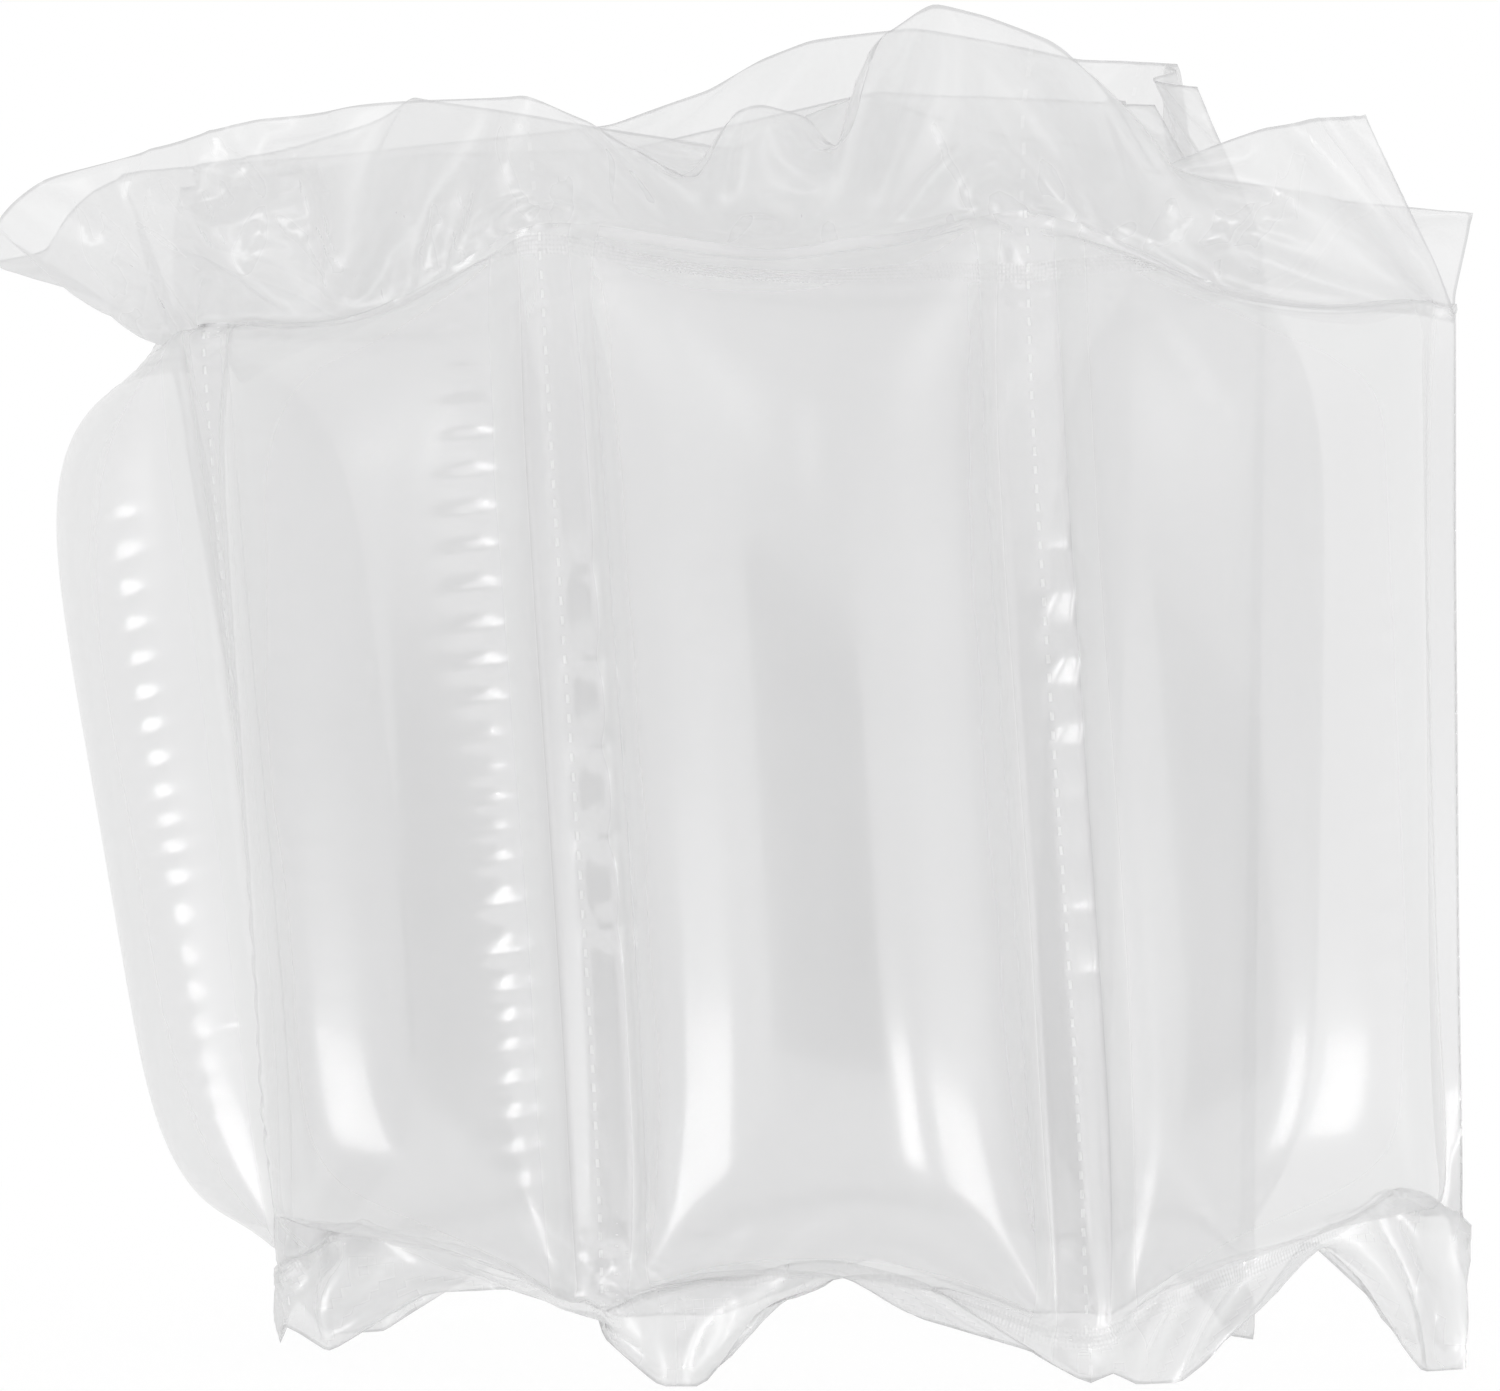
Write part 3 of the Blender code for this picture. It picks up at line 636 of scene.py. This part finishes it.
def creased(along, up, lines, width):
    """Sum of depth * exp(-distance / width) over lines (x0, y0, x1, y1, depth), faded past their ends."""
    relief = np.zeros(along.shape)
    for x0, y0, x1, y1, depth in lines:
        length = np.hypot(x1 - x0, y1 - y0)
        ux, uy = (x1 - x0) / length, (y1 - y0) / length
        part = ((along - x0) * ux + (up - y0) * uy) / length
        distance = np.abs((along - x0) * uy - (up - y0) * ux)
        fade = np.clip(4 * (0.5 - np.abs(part - 0.5)) + 0.4, 0, 1)
        relief += depth * fade * np.exp(-distance / width)
    return relief


def short_lines(count, level, reach, depth):
    """Random short lines around a height: mostly upright, 4 to 16 mm long, ridges and valleys."""
    x = rng.uniform(0, POCKETS * FLAT_POCKET, count)
    y = level + rng.normal(0, reach, count)
    angle, length = rng.normal(0.5 * np.pi, 0.6, count), rng.uniform(0.004, 0.016, count)
    sign = depth * rng.choice((-1.0, 1.0), count) * rng.uniform(0.4, 1.0, count)
    return np.stack([x, y, x + length * np.cos(angle), y + length * np.sin(angle), sign], axis=1)


weld_height = np.mean(flat_height[TOP_WELD])
named = np.array(LEAF_CREASES) * (FLAT_POCKET, 1, FLAT_POCKET, 1, CREASE_DEPTH)
named[:, (1, 3)] += weld_height
leaf_flat = refined(np.stack([np.broadcast_to(flat_station * FLAT_POCKET, (ROWS, COLUMNS)),
                              flat_height], axis=-1)[None, TOP_WELD:], LEAF_FINER)[0]
leaf_cloud = soft_noise(leaf_flat[..., 0], leaf_flat[..., 1], LEAF_CLOUD)
leaves = refined(settled[:, TOP_WELD:], LEAF_FINER)
leaf_out = out_normals(leaves)
fade_in = np.clip((leaf_flat[..., 1] - leaf_flat[:1, :, 1]) / CREASE_FADE, 0, 1)
leaf_folds = []
for side, lines in ((0, named), (1, named[::3])):
    short = short_lines(SHORT_CREASES, weld_height + SHORT_ABOVE, SHORT_REACH, SHORT_DEPTH)
    relief = creased(leaf_flat[..., 0], leaf_flat[..., 1], np.concatenate([lines, short]), CREASE_WIDTH)
    leaves[side] += (relief * fade_in)[..., None] * leaf_out[side]
    leaf_folds.append(np.clip(FOLD_GAIN * np.abs(relief) / CREASE_DEPTH - FOLD_FROM, 0, 1))
print("leaf grids of", leaf_flat.shape[0], "rows and", leaf_flat.shape[1], "columns")

# %% [markdown]
# ## Four pieces of one film
#
# The outer and the inner film become two meshes each: the pockets with the skirt, and the leaf on its
# finer grid. The UV map is the flat strip itself in metres, so that the marks in the film's material
# keep their real size. Attributes say how far a point is from the nearest weld, seam and cut hem, how
# hazy it is and how sharply it is folded. Haze is a slow cloud over the strip. Near the welds and in the
# skirt there is more of it, which lightens the film and calms its rim: partly the haze of film crumpled
# too finely to be drawn, partly painted light that stands in for the glints of those crumples.

# %% Pieces
SLOW_CLOUD, QUICK_CLOUD = (0.7, 0.035), (0.3, 0.014)
TOP_HAZE_AND_LIGHT, BOTTOM_HAZE_AND_LIGHT, SKIRT_HAZE_AND_LIGHT = (1.4, 14), (0.7, 8), 0.8
BLOWN = slice(None, TOP_WELD + 1)
flat_along = np.broadcast_to(flat_station * FLAT_POCKET, (ROWS, COLUMNS))
cloud = sum(share * soft_noise(flat_along, flat_height, cell) for share, cell in (SLOW_CLOUD, QUICK_CLOUD))
# Near the welds and in the skirt the haze also carries painted light for the glints of fine crumples.
for (haze, rows), weld_row in ((TOP_HAZE_AND_LIGHT, TOP_WELD), (BOTTOM_HAZE_AND_LIGHT, BOTTOM_WELD)):
    cloud += haze * bell(row_number, weld_row, rows)
cloud[:BOTTOM_WELD] += SKIRT_HAZE_AND_LIGHT


def film_piece(name, points, flat, haze, fold, hem_row, turned):
    """A mesh with a face between every four grid points; `turned` makes its faces look the other way."""
    rows, columns = points.shape[:2]
    number = np.arange(rows * columns).reshape(rows, columns)
    corners = np.stack([number[:-1, :-1], number[:-1, 1:], number[1:, 1:], number[1:, :-1]], axis=-1)
    corners = corners.reshape(-1, 4)[:, ::-1 if turned else 1]
    mesh = bpy.data.meshes.new(name)
    mesh.vertices.add(number.size)
    mesh.vertices.foreach_set("co", points.reshape(-1))
    mesh.loops.add(corners.size)
    mesh.loops.foreach_set("vertex_index", corners.reshape(-1))
    mesh.polygons.add(len(corners))
    mesh.polygons.foreach_set("loop_start", np.arange(len(corners)) * 4)
    mesh.uv_layers.new(name="flat_strip").data.foreach_set("uv", flat.reshape(-1, 2)[corners].reshape(-1))
    weld = np.minimum(np.abs(flat[..., 1]), np.abs(flat[..., 1] - np.mean(flat_height[TOP_WELD])))
    seam = np.abs(flat[..., 0] - FLAT_POCKET * np.round(flat[..., 0] / FLAT_POCKET))
    ends = np.minimum(flat[..., 0], POCKETS * FLAT_POCKET - flat[..., 0])
    hem = np.minimum(np.abs(flat[..., 1] - flat[hem_row, :, 1]), ends)
    measures = {"from_weld": weld, "from_seam": seam, "from_hem": hem, "cloud": haze, "fold": fold}
    for title, values in measures.items():
        mesh.attributes.new(title, "FLOAT", "POINT").data.foreach_set("value", values.reshape(-1))
    mesh.update(calc_edges=True)
    mesh.shade_smooth()
    piece = bpy.data.objects.new(name, mesh)
    bpy.context.scene.collection.objects.link(piece)
    return piece


flat_blown = np.stack([flat_along, flat_height], axis=-1)[BLOWN]
unfolded = np.zeros(flat_blown.shape[:2])
pieces = []
for side, title in enumerate(("outer", "inner")):
    blown, turned = settled[side][BLOWN], side == 0
    pieces.append(film_piece(title + "_pockets", blown, flat_blown, cloud[BLOWN], unfolded, 0, turned))
    pieces.append(film_piece(title + "_leaf", leaves[side], leaf_flat, leaf_cloud, leaf_folds[side], -1, turned))
for piece in pieces:
    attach(piece, "root")
    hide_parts("air_column_bag")
    print(piece.name, "has", 2 * len(piece.data.polygons), "triangles")

# %% [markdown]
# ## Clear film
#
# Thin film shows what is behind it and adds a pale haze of its own, more so where it is seen edge on.
# Transmission would bend the light as a solid block of plastic does, so Alpha does the work: low face
# on, high at a grazing look. The film's own reflection is weighted by Alpha too, so the index of
# refraction is set high enough to bring it back to what two real faces reflect.
#
# All the film's marks are one node group, because the pockets' outer film, their inner film and the
# leaves share them and differ only in a few numbers. They are measured in flat metres: perforations
# along each seam, each dot made lighter as a painted glint of its cut, a knurled band along each weld,
# a darker line at a cut hem, duller film where a pocket turns up from its band, and a fine uneven skin
# near the welds that breaks up the highlights.

# %% Node helper
class Nodes:
    """Short ways to add nodes to one node tree and link them."""

    def __init__(self, tree):
        self.tree = tree

    def put(self, kind, **values):
        """A new node; values set its properties."""
        node = self.tree.nodes.new("ShaderNode" + kind)
        for key, value in values.items():
            setattr(node, key, value)
        return node

    def link(self, source, socket):
        """Links an output to an input."""
        self.tree.links.new(source, socket)

    def feed(self, node, *sources):
        """Sets or links the node's first inputs, and gives its first output."""
        for socket, source in zip(node.inputs, sources):
            if isinstance(source, (int, float)):
                socket.default_value = source
            else:
                self.link(source, socket)
        return node.outputs[0]

    def math(self, operation, *sources):
        """The operation on two sources, and on its own result for each further one."""
        result = self.feed(self.put("Math", operation=operation), *sources[:2])
        return result if len(sources) < 3 else self.math(operation, result, *sources[2:])

    def ramp(self, value, low, high, out_low=0.0, out_high=1.0):
        """Goes from out_low at `low` to out_high at `high` in an S-shaped curve, and stays so beyond them."""
        node = self.put("MapRange", interpolation_type="SMOOTHSTEP")
        return self.feed(node, value, low, high, out_low, out_high)

    def attribute(self, title):
        """The mesh attribute of that name, as a number."""
        return self.put("Attribute", attribute_name=title).outputs["Fac"]


print("node helper ready")

# %% Film marks
PERFORATION_PITCH, PERFORATION_HALF = 0.0033, 0.00045
KNURL_PITCH, KNURL_HALF = 0.0016, 0.0021
HEM_LINE, DOT_LONG, DOT_SHORT = 0.0007, 0.28, 0.16
SKIN_SCALE, SKIN_REACH, SKIN_FULL = 330.0, 0.016, 0.002
DULL_FROM, DULL_TO = (0.40 * SEAM_BAND, 0.47 * SEAM_BAND), (0.85 * SEAM_BAND, 0.60 * SEAM_BAND)
ALPHA_GRAZING, HAZE_ALPHA, HEM_ALPHA, DOT_ALPHA, KNURL_ALPHA = 0.82, 0.04, 0.25, 0.15, 0.05
RIM_TONE, HEM_TONE, DOT_GLINT_TONE, BLUER = 0.97, 0.80, 0.1, 0.004
HAZE_ROUGH, DULL_ROUGH, FOLD_SMOOTH = 0.10, 0.35, 0.4
KNURL_HEIGHT, SKIN_HEIGHT, DOT_HEIGHT = 0.00008, 0.00010, 0.00012
CALMER_EDGE = {
    "cloud": (0.6, 1.8, 1.0, 0.35),
    "from_weld": (0.001, 0.012, 0.25, 1.0),
    "from_seam": (0.0065, 0.0110, 0.4, 1.0),
}
FILM_VALUES = ("Clearest", "Low tone", "High tone", "Smooth", "Coat", "Dots")


def perforation_dots(n, up, seam, strength):
    """A dot where |fract(height / pitch) - 0.5| is small, on the seam's own line."""
    beat = n.math("ABSOLUTE", n.math("SUBTRACT", n.math("FRACT", n.math("DIVIDE", up, PERFORATION_PITCH)), 0.5))
    on_line = n.ramp(seam, PERFORATION_HALF, 0.5 * PERFORATION_HALF)
    return n.math("MULTIPLY", on_line, n.ramp(beat, DOT_LONG, DOT_SHORT, 0.0, strength))


def knurl_pattern(n, along, up):
    """sin(along + up) * sin(along - up), each over the knurl's pitch: a diamond pattern."""
    slants = (n.math(sign, along, up) for sign in ("ADD", "SUBTRACT"))
    waves = (n.math("SINE", n.math("MULTIPLY", slant, 2 * np.pi / KNURL_PITCH)) for slant in slants)
    return n.math("MULTIPLY", *waves)


def film_marks():
    """The group: numbers for one film and how edge on it is seen go in, colour, masks and relief come out.

    Alpha is clearest + haze + edge * (grazing - clearest) + marks. The tone rises with the haze, which
    near the welds and in the skirt is partly painted light, goes up by a painted glint on the perforation
    dots, and is multiplied down at the rim and on the hem. Roughness is smooth + haze + dull, multiplied
    down on folds.
    Relief is the sum of each mark's mask times its height.
    """
    group = bpy.data.node_groups.new("film_marks", "ShaderNodeTree")
    for title in ("Edge on",) + FILM_VALUES:
        group.interface.new_socket(title, in_out="INPUT", socket_type="NodeSocketFloat")
    group.interface.new_socket("Colour", in_out="OUTPUT", socket_type="NodeSocketColor")
    for title in ("Alpha", "Roughness", "Coat", "Relief"):
        group.interface.new_socket(title, in_out="OUTPUT", socket_type="NodeSocketFloat")
    given, out = group.nodes.new("NodeGroupInput").outputs, group.nodes.new("NodeGroupOutput").inputs
    n = Nodes(group)
    flat = n.put("UVMap", uv_map="flat_strip").outputs["UV"]
    parts = n.put("SeparateXYZ")
    n.link(flat, parts.inputs[0])
    along, up = parts.outputs[0], parts.outputs[1]
    measured = {title: n.attribute(title) for title in ("from_weld", "from_seam", "from_hem", "cloud", "fold")}
    weld, seam, hem, cloud, fold = measured.values()
    on_hem = n.ramp(hem, HEM_LINE, 0.4 * HEM_LINE)
    on_weld = n.ramp(weld, KNURL_HALF, 0.7 * KNURL_HALF)
    dot = perforation_dots(n, up, seam, given["Dots"])
    dull = n.math("MULTIPLY", n.ramp(seam, *DULL_FROM), n.ramp(seam, *DULL_TO))
    calmer = (n.ramp(measured[title], *values) for title, values in CALMER_EDGE.items())
    edge = n.math("MULTIPLY", given["Edge on"], *calmer)

    # The tone rises with the haze, which near the welds and in the skirt holds painted light.
    tone = n.ramp(cloud, -1.0, 2.0, given["Low tone"], given["High tone"])
    # Painted glint: each perforation dot is made lighter.
    tone = n.math("ADD", tone, n.math("MULTIPLY", dot, DOT_GLINT_TONE))
    darker = (n.ramp(mask, 0.0, 1.0, 1.0, least) for mask, least in ((edge, RIM_TONE), (on_hem, HEM_TONE)))
    tone = n.math("MULTIPLY", tone, *darker)
    grey = n.put("CombineColor")
    n.link(n.feed(grey, tone, tone, n.math("ADD", tone, BLUER)), out["Colour"])

    haze = n.math("ADD", given["Clearest"], n.ramp(cloud, -1.0, 2.0, HAZE_ALPHA, 0.0))
    rim = n.math("MULTIPLY", edge, n.math("SUBTRACT", ALPHA_GRAZING, given["Clearest"]))
    marks = ((dot, DOT_ALPHA), (on_weld, KNURL_ALPHA), (on_hem, HEM_ALPHA))
    alpha = n.math("ADD", haze, rim, *(n.math("MULTIPLY", mask, amount) for mask, amount in marks))
    n.link(n.math("MINIMUM", alpha, 1.0), out["Alpha"])

    cloudy = n.ramp(cloud, -1.0, 1.0, 0.0, HAZE_ROUGH)
    rough = n.math("ADD", given["Smooth"], cloudy, n.math("MULTIPLY", dull, DULL_ROUGH))
    n.link(n.math("MULTIPLY", rough, n.ramp(fold, 0.0, 1.0, 1.0, FOLD_SMOOTH)), out["Roughness"])
    n.link(n.ramp(dull, 0.0, 1.0, given["Coat"], 0.0), out["Coat"])

    skin = n.put("TexNoise")
    skin.inputs["Scale"].default_value, skin.inputs["Detail"].default_value = SKIN_SCALE, 0.0
    n.link(flat, skin.inputs["Vector"])
    crinkled = n.math("MULTIPLY", skin.outputs["Fac"], n.ramp(weld, SKIN_REACH, SKIN_FULL))
    knurl = n.math("MULTIPLY", on_weld, knurl_pattern(n, along, up))
    reliefs = ((knurl, KNURL_HEIGHT), (crinkled, SKIN_HEIGHT), (dot, DOT_HEIGHT))
    n.link(n.math("ADD", *(n.math("MULTIPLY", mask, height) for mask, height in reliefs)), out["Relief"])
    return group


marks_group = film_marks()
print("film marks group has", len(marks_group.nodes), "nodes")

# %% [markdown]
# ## Three films
#
# The pockets' outer film is smooth and glossy. The leaves are limp film that has been handled, so they
# are duller and hazier, and their tone is set a little lighter: painted light that lifts the folded
# leaves, which come out darker than the pockets. The inner film is seen through the outer one, where
# sharp highlights would only look like noise, and it has no coat and no bump. Facing to the fourth power
# keeps the film clear until it is seen well edge on. Light that has been scattered once meets a plain,
# nearly clear film instead: it can hardly be told apart in the picture, and it saves about a quarter of
# the rendering time.

# %% Film materials
SCATTERED_ALPHA, FILM_IOR, EDGE_POWER = 0.075, 1.9, 4.0
COAT_ROUGHNESS, COAT_IOR = 0.06, 1.8
FILMS = {  # the group's six values, in the order of FILM_VALUES, and the specular level
    "blown_film": ((0.44, 0.595, 0.66, 0.15, 0.6, 1.0), 1.0),
    # Tone a little lighter than the pockets' film: painted light for the folded leaves.
    "loose_film_painted_lighter": ((0.50, 0.635, 0.70, 0.34, 0.0, 0.25), 0.6),
    "back_film": ((0.44, 0.60, 0.67, 0.34, 0.0, 1.0), 1.0),
}


def film_material(name, values, specular):
    """Principled film with the marks, and for diffuse rays a plain haze of diffuse and transparent."""
    film = dict(zip(FILM_VALUES, values))
    material = bpy.data.materials.new(name)
    material.use_nodes = True
    n = Nodes(material.node_tree)
    principled = n.tree.nodes["Principled BSDF"]
    shader = principled.inputs
    shader["IOR"].default_value, shader["Specular IOR Level"].default_value = FILM_IOR, specular
    shader["Coat Roughness"].default_value, shader["Coat IOR"].default_value = COAT_ROUGHNESS, COAT_IOR
    marks = n.put("Group", node_tree=marks_group)
    for title, value in film.items():
        marks.inputs[title].default_value = value
    facing = n.put("LayerWeight")
    facing.inputs["Blend"].default_value = 0.5
    n.link(n.math("POWER", facing.outputs["Facing"], EDGE_POWER), marks.inputs["Edge on"])
    n.link(marks.outputs["Colour"], shader["Base Color"])
    n.link(marks.outputs["Alpha"], shader["Alpha"])
    n.link(marks.outputs["Roughness"], shader["Roughness"])
    if film["Coat"]:
        n.link(marks.outputs["Coat"], shader["Coat Weight"])
        bump = n.put("Bump")
        bump.inputs["Distance"].default_value = 1.0
        n.link(marks.outputs["Relief"], bump.inputs["Height"])
        n.link(bump.outputs[0], shader["Normal"])
    haze, thin, either = n.put("BsdfDiffuse"), n.put("MixShader"), n.put("MixShader")
    haze.inputs["Color"].default_value = (film["High tone"],) * 3 + (1,)
    n.feed(thin, SCATTERED_ALPHA, n.put("BsdfTransparent").outputs[0], haze.outputs[0])
    n.feed(either, n.put("LightPath").outputs["Is Diffuse Ray"], principled.outputs[0], thin.outputs[0])
    n.link(either.outputs[0], n.tree.nodes["Material Output"].inputs["Surface"])
    return material


blown_film, loose_film_painted_lighter, back_film = (film_material(name, *film) for name, film in FILMS.items())
for piece, finish in zip(pieces, (blown_film, loose_film_painted_lighter, back_film, loose_film_painted_lighter)):
    piece.data.materials.append(finish)
cycles = bpy.context.scene.cycles
cycles.transparent_max_bounces = 32
cycles.max_bounces, cycles.diffuse_bounces, cycles.glossy_bounces = 3, 2, 2
print("films:", ", ".join(FILMS))

# %% [markdown]
# ## Floor and background
#
# The photo's background is plain white. The floor and the world are white for the rays that look at
# them, and for the rays that the film mirrors or lets through. Near the bag part of the floor stays a
# plain diffuse surface, so that the bag keeps its soft shadow. The lamps stand partly below the floor,
# so the floor casts no shadow of its own.

# %% Floor
FLOOR_HALF, SHADOW_REACH, GLOW_NEAR = 4.0, 0.40, 0.85
SQUARE = ((-1, -1), (1, -1), (1, 1), (-1, 1))


def stage_sheet(name, corners):
    """A flat four-cornered piece of the stage with an empty material: its object and its nodes."""
    mesh = bpy.data.meshes.new(name)
    mesh.from_pydata(corners, [], [(0, 1, 2, 3)])
    sheet = bpy.data.objects.new(name, mesh)
    bpy.context.scene.collection.objects.link(sheet)
    material = bpy.data.materials.new(name)
    material.use_nodes = True
    mesh.materials.append(material)
    return sheet, Nodes(material.node_tree)


floor, n = stage_sheet("floor", [(FLOOR_HALF * x, FLOOR_HALF * y, 0) for x, y in SQUARE])
floor.visible_shadow = False
plain = n.tree.nodes["Principled BSDF"]
plain.inputs["Base Color"].default_value = (1, 1, 1, 1)
plain.inputs["Roughness"].default_value = 0.9
path = n.put("LightPath").outputs
looked_at = n.math("MAXIMUM", path["Is Camera Ray"], path["Is Glossy Ray"], path["Is Transmission Ray"])
away = n.put("VectorMath", operation="LENGTH")
n.link(n.put("TexCoord").outputs["Object"], away.inputs[0])
glowing = n.ramp(away.outputs["Value"], SHADOW_REACH, 1.5 * SHADOW_REACH, GLOW_NEAR, 1.0)
mixed = n.put("MixShader")
n.feed(mixed, n.math("MULTIPLY", looked_at, glowing), plain.outputs[0], n.put("Emission").outputs[0])
n.link(mixed.outputs[0], n.tree.nodes["Material Output"].inputs["Surface"])
print("floor", 2 * FLOOR_HALF, "m wide")

# %% [markdown]
# ## Grey card
#
# In a white room a clear film mirrors only white. The photo's middle front pocket is darker where it
# looks back towards the camera, so a grey card hangs there, as a photographer would hang one. Only
# glossy rays see it.

# %% Grey card
CARD_AWAY, CARD_HALF, CARD_TOP, CARD_GREY = -0.50, 0.23, 0.15, 0.35
card_corners = ((-CARD_HALF, 0), (CARD_HALF, 0), (CARD_HALF, CARD_TOP), (-CARD_HALF, CARD_TOP))
card, n = stage_sheet("grey_card", [(x, CARD_AWAY, z) for x, z in card_corners])
card.visible_camera = card.visible_diffuse = card.visible_shadow = card.visible_transmission = False
grey = n.put("Emission")
grey.inputs["Color"].default_value = (CARD_GREY,) * 3 + (1,)
n.link(grey.outputs[0], n.tree.nodes["Material Output"].inputs["Surface"])
print("card", 2 * CARD_HALF, "by", CARD_TOP, "m")

# %% [markdown]
# ## World
#
# An even white world is the soft light of the studio, and the white behind the bag.

# %% World
world = bpy.data.worlds.new("white_room")
bpy.context.scene.world = world
world.use_nodes = True
world.node_tree.nodes["Background"].inputs["Color"].default_value = (1, 1, 1, 1)
world.node_tree.nodes["Background"].inputs["Strength"].default_value = 1.0
world.cycles.sampling_method = "NONE"
print("world is white")

# %% [markdown]
# ## Lamps
#
# Three soft boxes stand outside the view. A pocket mirrors a lamp where its wall faces halfway between
# the camera and the lamp, so their bearings place the upright streaks, and their low stand keeps the
# streaks in the pockets' lower thirds. The narrow one on the right lights the puckers at the shoulder
# of the left pocket. Film this clear hardly shades itself, so the lamps cast no shadows, which saves
# about a fifth of the rendering time.

# %% Lamps
LAMPS = {
    "left_low": ((-1.27, -0.51, -0.32), 0.78, 0.52, 2.7),
    "right_near": ((0.79, -1.12, -0.27), 0.22, 0.54, 1.1),
    "right_far": ((1.22, -0.63, -0.28), 0.64, 0.52, 2.1),
}
LAMPS_LOOK_AT = Vector((0, 0, 0.12))
for name, (place, width, height, power) in LAMPS.items():
    light = bpy.data.lights.new(name, "AREA")
    light.shape = "RECTANGLE"
    light.size, light.size_y, light.energy = width, height, power
    light.cycles.use_multiple_importance_sampling = False
    light.use_shadow = False
    lamp = bpy.data.objects.new(name, light)
    lamp.location = place
    lamp.rotation_euler = (LAMPS_LOOK_AT - Vector(place)).to_track_quat("-Z", "Y").to_euler()
    bpy.context.scene.collection.objects.link(lamp)
print("lamps:", ", ".join(LAMPS))

# %% [markdown]
# ## Camera
#
# The photo was taken from far off and a little above: the front hems and the back hems nearly line up.
# The eye is two metres from the front of the bag and looks down by four degrees. The picture's middle
# is a little aside of the bag's own, which turns the camera slightly and needs no lens shift.

# %% Camera
PHOTO_WIDTH = 1500
FOCAL_PIXELS = 11400
EYE = Vector((0.01594, -0.09875 - 1.995, 0.1395))
LOOK_DOWN = np.radians(4.0)
ASIDE_PIXELS, ABOVE_PIXELS = -62, 690.5
ahead = Vector((0, np.cos(LOOK_DOWN), -np.sin(LOOK_DOWN)))
rightward = Vector((1, 0, 0))
upward = rightward.cross(ahead)
aim = ahead + (ASIDE_PIXELS / FOCAL_PIXELS) * rightward + (ABOVE_PIXELS / FOCAL_PIXELS) * upward
camera_data = bpy.data.cameras.new("photo_camera")
camera_data.lens = FOCAL_PIXELS * camera_data.sensor_width / PHOTO_WIDTH
camera = bpy.data.objects.new("photo_camera", camera_data)
camera.location = EYE
camera.rotation_euler = aim.to_track_quat("-Z", "Y").to_euler()
bpy.context.scene.collection.objects.link(camera)
bpy.context.scene.camera = camera
bpy.context.scene.view_settings.view_transform = "Standard"
print("lens", round(camera_data.lens, 1), "mm")
